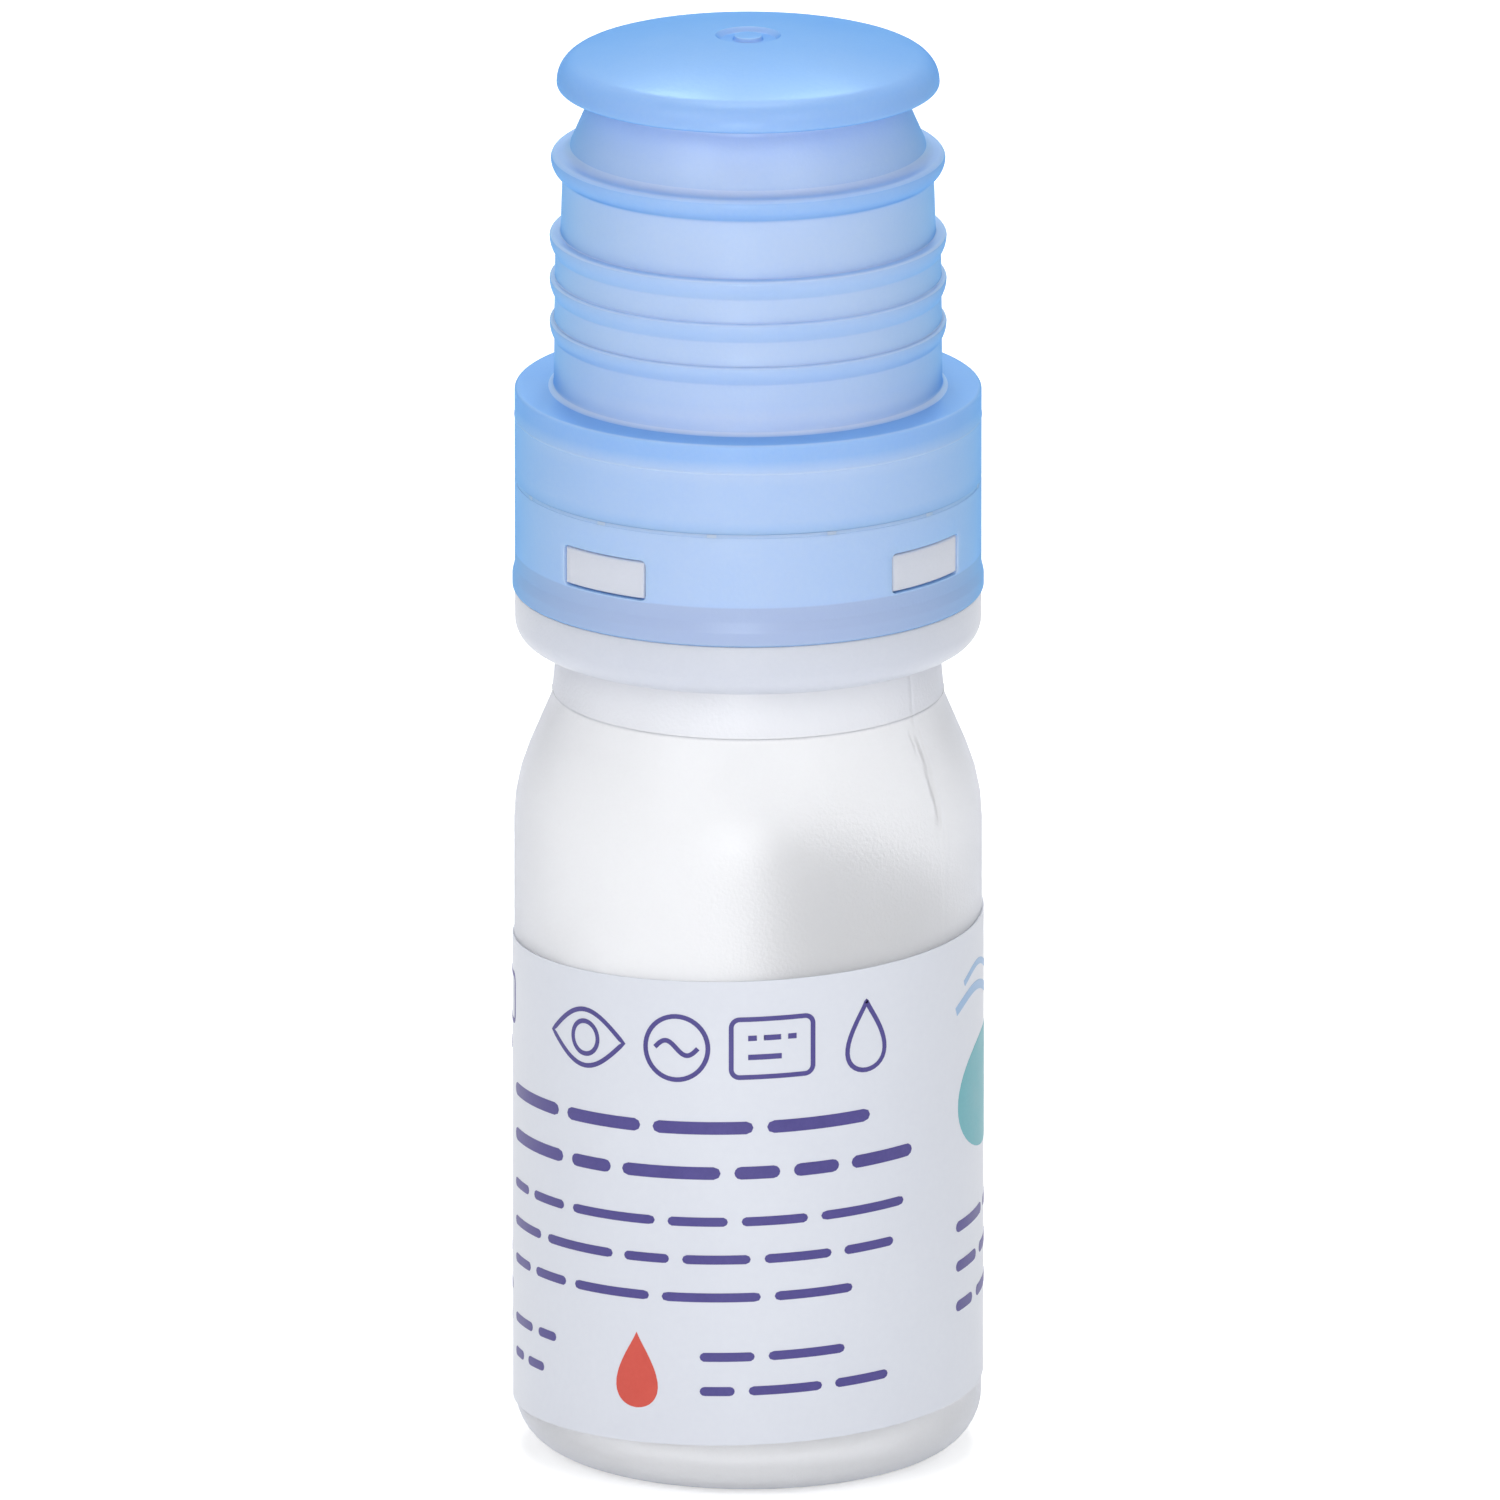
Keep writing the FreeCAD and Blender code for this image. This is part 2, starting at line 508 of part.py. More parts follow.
def cap():
    body = new_body("cap")
    reach = f"({SLEEVE_TOP} + ring_depth)"
    second_wall = f"({SLEEVE_TOP} + sleeve_taper / 3)"
    first_wall = f"({SLEEVE_TOP} + 2 * sleeve_taper / 3)"
    turned(body, "cap_form", [
        ("0", CAP_FOOT),
        (f"{BAND_RADIUS} - tear_notch", CAP_FOOT),
        (BAND_RADIUS, f"{CAP_FOOT} + 2 * tear_notch"),
        (BAND_RADIUS, f"{CAP_SHOULDER} - cap_round"),
        (f"{BAND_RADIUS} - cap_round", CAP_SHOULDER, "cap_round", LEFT),
        (SLEEVE_FOOT, CAP_SHOULDER),
        *bump(FIRST_RING, reach, "ring_round", "ring_edge", first_wall, first_wall),
        *bump(f"({FIRST_RING} + ring_pitch)", reach, "ring_round", "ring_edge", second_wall, second_wall),
        *bump(f"({FIRST_RING} + 2 * ring_pitch)", reach, "ring_round", "ring_edge", SLEEVE_TOP, WAIST_FOOT),
        *bump(GRIP, f"({WAIST_TOP} + grip_depth)", "grip_round", "grip_edge", WAIST_TOP,
              f"{STEM_FOOT} + stem_fillet"),
        (STEM_FOOT, f"{GRIP_TOP} + stem_fillet", "stem_fillet", RIGHT),
        (STEM_TOP, f"{DISC_FOOT} - disc_fillet"),
        (f"{STEM_TOP} + disc_fillet", DISC_FOOT, "disc_fillet", RIGHT),
        (f"{DISC_REACH} - disc_round", DISC_FOOT),
        (DISC_REACH, f"{DISC_FOOT} + disc_round", "disc_round", LEFT),
        (DISC_REACH, RIM),
        (f"{RIM_CENTRE} * {DOME_SHARE}", f"{DOME_CENTRE} + ({RIM} - {DOME_CENTRE}) * {DOME_SHARE}",
         "rim_round", LEFT),
        ("0", DOME_TOP, "dome_radius", LEFT),
    ])
    bore_top = f"({SLEEVE_BORE} - sleeve_draft)"
    stem_bore = f"({STEM_TOP} - stem_wall)"
    turned(body, "cap_hollow", [
        ("0", f"{CAP_FOOT} - cap_wall"),
        (f"{BAND_RADIUS} - cap_wall", f"{CAP_FOOT} - cap_wall"),
        (f"{BAND_RADIUS} - cap_wall", f"{CAP_SHOULDER} - cap_wall"),
        (SLEEVE_BORE, f"{CAP_SHOULDER} - cap_wall"),
        (bore_top, f"{GRIP} - grip_round"),
        (f"{STEM_FOOT} - stem_wall", GRIP_TOP),
        (stem_bore, DISC_FOOT),
        (stem_bore, f"{DOME_CENTRE} + sqrt({CEILING_RADIUS}^2 - {stem_bore}^2)"),
        ("0", f"{DOME_CENTRE} + {CEILING_RADIUS}", CEILING_RADIUS, LEFT),
    ], "Groove")
    turned(body, "moulding_dimple", ring_section("gate_radius", "dimple_radius", f"{DOME_TOP} - dimple_depth",
                                                 f"{DOME_TOP} + dimple_depth"), "Groove")
    return body


def nozzle():
    body = new_body("nozzle")
    cone_foot = f"({SOCKET_TOP} + nozzle_flange + nozzle_straight)"
    bore_top = f"({DECK} + cup_height)"
    turned(body, "nozzle_wall", [
        ("nozzle_bore", DECK),
        ("nozzle_root", DECK),
        ("nozzle_root", SOCKET_TOP),
        (SOCKET_RADIUS, SOCKET_TOP),
        (SOCKET_RADIUS, f"{SOCKET_TOP} + nozzle_flange"),
        ("nozzle_neck", f"{SOCKET_TOP} + nozzle_flange"),
        ("nozzle_neck", cone_foot),
        ("tip_radius", f"{NOZZLE_TIP} - tip_round"),
        ("tip_radius - tip_round", NOZZLE_TIP, "tip_round", LEFT),
        ("orifice", f"{NOZZLE_TIP} - tip_cup"),
        ("orifice", SEAT_TOP),
        ("seat_radius", f"{SEAT_TOP} - seat_height"),
        ("nozzle_bore", bore_top),
    ])
    return body


def valve_cup():
    body = new_body("valve_cup")
    rim = "(nozzle_bore - fit_gap)"
    turned(body, "cup_wall_ring", [
        ("0", DECK),
        (rim, DECK),
        (rim, CUP_FLOOR),
        (CUP_RADIUS, CUP_FLOOR),
        (CUP_RADIUS, f"{DECK} + cup_height"),
        (CUP_BORE, f"{DECK} + cup_height"),
        (CUP_BORE, CUP_FLOOR),
        (SPIGOT_RADIUS, CUP_FLOOR),
        (SPIGOT_RADIUS, f"{CUP_FLOOR} + spigot_height"),
        ("0", f"{CUP_FLOOR} + spigot_height"),
    ])
    slot = turned(body, "flow_slot", ring_section(f"{rim} - slot_reach", f"{rim} + flow_gap",
                                                  f"{DECK} - cup_floor", CUP_FLOOR), "Groove", "slot_sweep")
    repeat_round(body, slot, "slot_count")
    return body


def valve_pin_part():
    body = new_body("valve_pin")
    piston = f"({CUP_BORE} - slide_gap)"
    turned(body, "pin_form", [
        ("0", f"{PISTON_FOOT} - spigot_height"),
        (SPIGOT_RADIUS, f"{PISTON_FOOT} - spigot_height"),
        (SPIGOT_RADIUS, PISTON_FOOT),
        (piston, PISTON_FOOT),
        (piston, PISTON_TOP),
        ("pin_radius", PISTON_TOP),
        ("pin_radius", f"{POINT_TOP} - {POINT_HEIGHT}"),
        ("pin_point", POINT_TOP),
        ("0", POINT_TOP),
    ])
    return body


def biarc(start, leave, end, arrive):
    """Two arcs that leave start and arrive at end along the directions given, and meet smoothly."""
    gap = end - start
    along = gap.dot(leave + arrive)
    turn = 2 * (1 - leave.dot(arrive))
    reach = (-along + math.sqrt(along ** 2 + turn * gap.dot(gap))) / turn
    first, second = start + leave * reach, end - arrive * reach
    middle = (first + second) / 2
    arcs = []
    for one, corner, other in ((start, first, middle), (middle, second, end)):
        inward = ((one - corner).normalize() + (other - corner).normalize()).normalize()
        half = math.acos(max(-1, min(1, inward.dot((one - corner).normalize()))))
        radius = reach * math.tan(half)
        top = corner + inward * (reach / math.cos(half) - radius)
        arcs.append(Part.Arc(one, top, other).toShape())
    return arcs


def valve_spring():
    """One wire wound at a steady pitch; a quarter turn is a pair of arcs."""
    radius = value(SPRING_RADIUS)
    wire = value("spring_wire")
    turns = value("spring_turns")
    foot = value(CUP_FLOOR) + wire / 2 + value("end_gap")
    climb = value("spring_length") - wire - 2 * value("end_gap")
    steps = round(4 * turns)
    slope = climb / (2 * math.pi * turns * radius)

    def place(step):
        angle = math.pi / 2 * step
        return FreeCAD.Vector(radius * math.cos(angle), radius * math.sin(angle), foot + climb * step / steps)

    def heading(step):
        angle = math.pi / 2 * step
        return FreeCAD.Vector(-math.sin(angle), math.cos(angle), slope).normalize()

    arcs = []
    for step in range(steps):
        arcs += biarc(place(step), heading(step), place(step + 1), heading(step + 1))
    section = Part.Wire(Part.Circle(place(0), heading(0), wire / 2).toShape())
    coil = Part.Wire(arcs).makePipeShell([section], True, False)
    print("spring: least gap between turns", round(climb / turns - wire, 3))
    feature = doc.addObject("Part::Feature", "valve_spring")
    feature.Label = "valve_spring"
    feature.Shape = coil
    feature.Placement = FreeCAD.Placement()
    return feature


def vent_filter():
    body = new_body("vent_filter")
    turned(body, "membrane", ring_section(FILTER_BORE, FILTER_RADIUS, f"{MOUTH} - filter_film", MOUTH))
    return body


def flow_restrictor():
    body = new_body("flow_restrictor")
    foot = f"({MOUTH} - restrictor_length)"
    outer = f"({THROAT_BORE} - fit_gap)"
    turned(body, "restrictor_wall", [
        ("restrictor_funnel", foot),
        (outer, foot),
        (outer, MOUTH),
        ("restrictor_bore", MOUTH),
        ("restrictor_bore", f"{foot} + restrictor_length / 2"),
    ])
    return body


pieces = [bottle(), label(), dispenser_base(), tamper_band(), cap(), nozzle(), valve_cup(),
          valve_pin_part(), valve_spring(), vent_filter(), flow_restrictor()]
doc.recompute()

for item in doc.Objects:
    if {"Invalid", "Error"} & set(item.State):
        raise RuntimeError(f"{item.Label} did not build: {item.State}")
for piece in pieces:
    if piece.Shape.isNull() or not piece.Shape.isValid() or len(piece.Shape.Solids) != 1:
        raise RuntimeError(f"{piece.Label} is not one valid solid")

os.makedirs("parts", exist_ok=True)
for piece in pieces:
    piece.Shape.exportStep(f"parts/{piece.Label}.step")
    print(piece.Label, round(piece.Shape.Volume, 2))
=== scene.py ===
import math

import bmesh
import bpy
import numpy
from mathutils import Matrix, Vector


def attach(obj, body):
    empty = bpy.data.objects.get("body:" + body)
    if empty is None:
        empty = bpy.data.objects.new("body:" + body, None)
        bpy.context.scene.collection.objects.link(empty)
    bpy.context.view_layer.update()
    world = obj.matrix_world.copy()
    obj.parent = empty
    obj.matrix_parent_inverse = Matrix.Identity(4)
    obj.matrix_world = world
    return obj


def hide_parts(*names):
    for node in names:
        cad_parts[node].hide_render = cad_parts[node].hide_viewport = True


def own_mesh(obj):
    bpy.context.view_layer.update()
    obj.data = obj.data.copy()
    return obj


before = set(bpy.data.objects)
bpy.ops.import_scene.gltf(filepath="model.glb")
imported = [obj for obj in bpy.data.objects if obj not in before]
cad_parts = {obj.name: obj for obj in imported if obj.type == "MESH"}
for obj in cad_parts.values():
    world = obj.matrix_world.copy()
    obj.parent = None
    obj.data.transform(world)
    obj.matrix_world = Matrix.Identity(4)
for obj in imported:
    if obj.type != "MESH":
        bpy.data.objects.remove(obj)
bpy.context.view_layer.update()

# Squeeze bottle: one piece of soft, milky polyethylene, blown in a mould of two halves. The halves
# leave a parting line that shows on the shoulder, and a pinched seam under the base.
# Its neck has a ledge, a bead that the base grips, and a plain mouth.
MM = 0.001
STEPS_ROUND = 180
EVEN_TURNS = [math.tau * number / STEPS_ROUND for number in range(STEPS_ROUND)]
BODY_RADIUS = 12.5
BODY_WALL = 0.9
PARTING_TURN = math.radians(-33)
PARTING_TURNS = (PARTING_TURN, PARTING_TURN + math.pi)
PARTING_HEIGHT = 0.07
PARTING_WIDTH = 0.16
PARTING_STEP = 0.005
PARTING_TOP = BODY_RADIUS + 0.015
NECK_START = 41.5
NECK_END = 41.8
BOTTLE_OUTLINE = [
    (0, 0.6), (7.3, 0.6, 0.6), (8.5, 0, 0.3), (BODY_RADIUS, 0, 2.8),
    (BODY_RADIUS, 36.535, 10), (10.35, 41.6, 0.2), (10.45, 41.68, 0.05), (10.22, 44.25, 0.1),
    (9.6, 44.25), (9.6, 50), (10.15, 50.14, 0.1), (10.15, 50.56, 0.2), (9.6, 51.4), (9.6, 53.1, 0.3),
    (8.3, 53.1, 0.25), (8.3, 44.6, 2), (11.6, 36.1, 9), (11.6, 1.5, 1.9), (0, 1.5),
]


def sweep(centre, radius, first, last, step=0.16):
    """Points along an arc, from one angle to another."""
    count = max(2, math.ceil(abs(last - first) / step))
    angles = [first + (last - first) * number / count for number in range(count + 1)]
    return [centre + radius * Vector((math.cos(angle), math.sin(angle))) for angle in angles]


def rounded(corners):
    """Points of an outline; a corner with a third number is rounded to that radius."""
    points = []
    for number, corner in enumerate(corners):
        here = Vector(corner[:2])
        if len(corner) == 2:
            points.append(here)
            continue
        back = (Vector(corners[number - 1][:2]) - here).normalized()
        ahead = (Vector(corners[(number + 1) % len(corners)][:2]) - here).normalized()
        half = back.angle(ahead) / 2
        centre = here + (back + ahead).normalized() * corner[2] / math.sin(half)
        start = here + back * corner[2] / math.tan(half) - centre
        end = here + ahead * corner[2] / math.tan(half) - centre
        first = math.atan2(start.y, start.x)
        turn = math.remainder(math.atan2(end.y, end.x) - first, math.tau)
        points += sweep(centre, corner[2], first, first + turn)
    return points


def divided(points, longest):
    """The same outline with no stretch longer than that."""
    result = []
    for point, after in zip(points, points[1:] + points[:1]):
        count = max(1, math.ceil((after - point).length / longest))
        result += [point.lerp(after, number / count) for number in range(count)]
    return result


def turned_form(points, turns=EVEN_TURNS):
    """A closed form, turned about the axis from an outline in millimetres."""
    form = bmesh.new()
    rings = []
    for point in points:
        if point.x < 1e-6:
            rings.append([form.verts.new((0, 0, point.y * MM))] * len(turns))
            continue
        rings.append([
            form.verts.new((point.x * MM * math.cos(turn), point.x * MM * math.sin(turn), point.y * MM))
            for turn in turns])
    for ring, after in zip(rings, rings[1:] + rings[:1]):
        for number in range(len(turns)):
            corners = dict.fromkeys((ring[number - 1], ring[number], after[number], after[number - 1]))
            if len(corners) > 2:
                form.faces.new(corners)
    bmesh.ops.recalc_face_normals(form, faces=form.faces[:])
    return form


def new_piece(name, form, material, sharp=35):
    """A piece with its place in its mesh, smooth but for edges sharper than the angle."""
    mesh = bpy.data.meshes.new(name)
    form.to_mesh(mesh)
    form.free()
    mesh.shade_smooth()
    mesh.set_sharp_from_angle(angle=math.radians(sharp))
    mesh.materials.append(material)
    piece = bpy.data.objects.new(name, mesh)
    bpy.context.scene.collection.objects.link(piece)
    return piece


def place(tree, kind, inputs=None, **settings):
    """A new node; each input takes a value or the output of another node."""
    node = tree.nodes.new(kind)
    for name, setting in settings.items():
        setattr(node, name, setting)
    for name, given in (inputs or {}).items():
        if isinstance(given, bpy.types.NodeSocket):
            tree.links.new(given, node.inputs[name])
        else:
            node.inputs[name].default_value = given
    return node


def colour(red, green, blue):
    """A colour as a picture editor gives it, 0 to 255, made linear for the shader."""
    parts = [part / 255 for part in (red, green, blue)]
    return [part / 12.92 if part < 0.04045 else ((part + 0.055) / 1.055) ** 2.4 for part in parts] + [1]


def new_finish(name, **values):
    """A material, its tree and its shader, with the shader's plain values set."""
    material = bpy.data.materials.new(name)
    material.use_nodes = True
    shader = material.node_tree.nodes["Principled BSDF"]
    for socket, value in values.items():
        shader.inputs[socket.replace("_", " ")].default_value = value
    return material, material.node_tree, shader


def moulded_skin():
    """Node group for moulded plastic: slow clouds in the colour, a fine grain and an uneven gloss."""
    group = bpy.data.node_groups.new("moulded_skin", "ShaderNodeTree")
    for name, start in (("Cloud Scale", 150), ("Grain Scale", 4000), ("Smoothest", 0.3), ("Roughest", 0.4)):
        group.interface.new_socket(name, in_out="INPUT", socket_type="NodeSocketFloat").default_value = start
    for name in ("Tone", "Grain", "Roughness"):
        group.interface.new_socket(name, in_out="OUTPUT", socket_type="NodeSocketFloat")
    given = place(group, "NodeGroupInput").outputs
    where = place(group, "ShaderNodeTexCoord").outputs["Object"]
    cloud = place(group, "ShaderNodeTexNoise",
                  {"Vector": where, "Scale": given["Cloud Scale"], "Detail": 3, "Roughness": 0.6})
    grain = place(group, "ShaderNodeTexNoise",
                  {"Vector": where, "Scale": given["Grain Scale"], "Detail": 2, "Roughness": 0.55})
    spread = place(group, "ShaderNodeMapRange",
                   {"Value": cloud.outputs["Fac"], "From Min": 0.3, "From Max": 0.7,
                    "To Min": given["Smoothest"], "To Max": given["Roughest"]})
    speck = place(group, "ShaderNodeMath", {0: grain.outputs["Fac"], 1: 0.5, 2: -0.25},
                  operation="MULTIPLY_ADD")
    tone = place(group, "ShaderNodeMath", {0: cloud.outputs["Fac"], 1: speck.outputs[0]}, operation="ADD")
    place(group, "NodeGroupOutput", {"Tone": tone.outputs[0], "Grain": grain.outputs["Fac"],
                                     "Roughness": spread.outputs["Result"]})
    return group


SKIN = moulded_skin()


def put_skin(tree, shader, cloud_scale, grain_scale, smoothest, roughest, bump):
    """Give the shader the moulded skin's gloss and grain; returns the tone for its colour."""
    skin = place(tree, "ShaderNodeGroup", node_tree=SKIN)
    for name, given in (("Cloud Scale", cloud_scale), ("Grain Scale", grain_scale),
                        ("Smoothest", smoothest), ("Roughest", roughest)):
        skin.inputs[name].default_value = given
    relief = place(tree, "ShaderNodeBump",
                   {"Height": skin.outputs["Grain"], "Strength": bump, "Distance": 0.0001})
    tree.links.new(skin.outputs["Roughness"], shader.inputs["Roughness"])
    tree.links.new(relief.outputs["Normal"], shader.inputs["Normal"])
    return skin.outputs["Tone"]


def mixed(tree, factor, first, second):
    """A colour between two, by a factor that changes over the surface."""
    return place(tree, "ShaderNodeMix", {0: factor, 6: first, 7: second}, data_type="RGBA").outputs[2]


def parting_rise(angle, height):
    """How far the parting line stands out: clear on the shoulder, almost gone on the body."""
    waver = 0.02 * math.sin(height * 3.1) + 0.012 * math.sin(height * 7.7 + 1)
    fade = min(1, max(0.25, (height - 30) / 6)) if height > 3 else 0
    if height > NECK_START:
        fade *= 0.5
    reach = 0
    for seam in PARTING_TURNS:
        across = math.remainder(angle - seam - waver * fade, math.tau) * BODY_RADIUS
        reach = max(reach, math.exp(-(across / PARTING_WIDTH) ** 2))
    return PARTING_HEIGHT * fade * reach


bottle_finish, tree, shader = new_finish(
    "milky_polyethylene", IOR=1.5, Specular_IOR_Level=0.3, Transmission_Weight=0.32, Subsurface_Weight=0.7,
    Subsurface_Radius=(1, 1, 1), Subsurface_Scale=0.003, Coat_Weight=1, Coat_IOR=1.03, Coat_Roughness=0.5,
    Coat_Tint=(0.98, 0.985, 1, 1))
tone = put_skin(tree, shader, 120, 5200, 0.3, 0.38, 0.25)
clear = place(tree, "ShaderNodeBsdfGlass", {"Color": (1, 1, 1, 1), "Roughness": 0.2, "IOR": 1.5}).outputs[0]
where = place(tree, "ShaderNodeTexCoord").outputs["Object"]
height = place(tree, "ShaderNodeSeparateXYZ", {0: where}).outputs["Z"]
from_inside = place(tree, "ShaderNodeNewGeometry").outputs["Backfacing"]
both = place(tree, "ShaderNodeMixShader", {0: from_inside, 1: shader.outputs[0], 2: clear}).outputs[0]
tree.links.new(both, tree.nodes["Material Output"].inputs["Surface"])
# Painted shade: above 41.5 mm the milky colour turns greyer, standing in for the shadow that the collar casts
# on the neck.
neck = place(tree, "ShaderNodeMapRange",
             {"Value": height, "From Min": NECK_START * MM, "From Max": NECK_END * MM}).outputs[0]
milk = mixed(tree, tone, colour(244, 245, 249), colour(250, 251, 254))
tree.links.new(mixed(tree, neck, milk, colour(233, 235, 242)), shader.inputs["Base Color"])
inside_finish, tree, shader = new_finish(
    "clear_inside", Base_Color=(1, 1, 1, 1), IOR=1.5, Transmission_Weight=1)
put_skin(tree, shader, 120, 5200, 0.1, 0.2, 0.02)

seam_turns = {(seam + step * PARTING_STEP) % math.tau for seam in PARTING_TURNS for step in range(-12, 13)}
form = turned_form(divided(rounded(BOTTLE_OUTLINE), 0.8), sorted(set(EVEN_TURNS) | seam_turns))
for vertex in form.verts:
    radius = vertex.co.xy.length / MM
    height = vertex.co.z / MM
    if radius > BODY_RADIUS - BODY_WALL + 0.3 or 36 < height < 44.2 and radius > 10:
        rise = parting_rise(math.atan2(vertex.co.y, vertex.co.x), height)
        vertex.co.xy *= min(radius + rise, PARTING_TOP) / radius
bottle = new_piece("squeeze_bottle", form, bottle_finish)
# The inside faces are clear, so that only the outer skin of the wall looks milky.
bottle.data.materials.append(inside_finish)
for face in bottle.data.polygons:
    outward = face.normal.xy.dot(face.center.xy.normalized())
    if face.center.z > MM and (outward < -0.2 or face.center.z < 3.5 * MM and face.normal.z > 0.5):
        face.material_index = 1
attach(bottle, "bottle")
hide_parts("bottle")

# Label: a thin satin film, pale grey blue, stuck on a little askew so that it climbs to the right, with
# its ends left apart at the back. It is printed in indigo, teal and coral with plain marks: lines in
# place of words, an eye, a wave, a frame and drops.
LABEL_RADIUS = 12.52
LABEL_FILM = 0.08
INK_FILM = 0.015
LABEL_FOOT = 3.2
LABEL_HEIGHT = 25.7
LABEL_CLIMB = 3.0
LABEL_START = math.radians(-108.4)
LABEL_END = math.radians(176)
FILM_RADIUS = LABEL_RADIUS + LABEL_FILM


def on_label(across, up, lift=0.0):
    """A place on the film: millimetres to the right of the front, above the lower edge, off the film."""
    angle = across / FILM_RADIUS
    radius = (FILM_RADIUS + lift) * MM
    height = LABEL_FOOT + up + LABEL_CLIMB * angle / math.tau
    return radius * math.sin(angle), -radius * math.cos(angle), height * MM


def strip(form, rows, closed):
    """Faces along rows of corners; an open strip gets its two ends."""
    for row, after in zip(rows, rows[1:] + rows[:1] if closed else rows[1:]):
        for number in range(len(row)):
            form.faces.new((row[number - 1], row[number], after[number], after[number - 1]))
    if not closed:
        form.faces.new(rows[0])
        form.faces.new(rows[-1])


film_finish, tree, shader = new_finish("label_film", IOR=1.48, Subsurface_Weight=0.1,
                                       Subsurface_Radius=(1, 1, 1), Subsurface_Scale=0.0003)
tone = put_skin(tree, shader, 90, 2600, 0.36, 0.46, 0.05)
tree.links.new(mixed(tree, tone, colour(221, 225, 236), colour(229, 233, 242)), shader.inputs["Base Color"])
form = bmesh.new()
rows = []
FILM_COLUMNS = 300
for number in range(FILM_COLUMNS + 1):
    across = (LABEL_START + (LABEL_END - LABEL_START) * number / FILM_COLUMNS) * FILM_RADIUS
    rows.append([form.verts.new(on_label(across, up, lift)) for up, lift in (
        (0, -LABEL_FILM), (0, 0), (LABEL_HEIGHT, 0), (LABEL_HEIGHT, -LABEL_FILM))])
strip(form, rows, closed=False)
bmesh.ops.recalc_face_normals(form, faces=form.faces[:])
label = new_piece("label_film", form, film_finish)
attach(label, "bottle")
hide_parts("label")


def ink(name, first, second):
    """Printing ink: a matt colour, a little uneven where the film takes it."""
    finish, tree, shader = new_finish(name, IOR=1.45)
    tone = put_skin(tree, shader, 700, 5000, 0.4, 0.5, 0.04)
    tree.links.new(mixed(tree, tone, first, second), shader.inputs["Base Color"])
    return finish


indigo_ink = ink("indigo_ink", colour(66, 58, 128), colour(84, 76, 146))
teal_ink = ink("teal_ink", colour(92, 170, 182), colour(112, 184, 194))
coral_ink = ink("coral_ink", colour(206, 74, 62), colour(218, 90, 76))
sky_ink = ink("sky_ink", colour(150, 184, 222), colour(166, 196, 230))


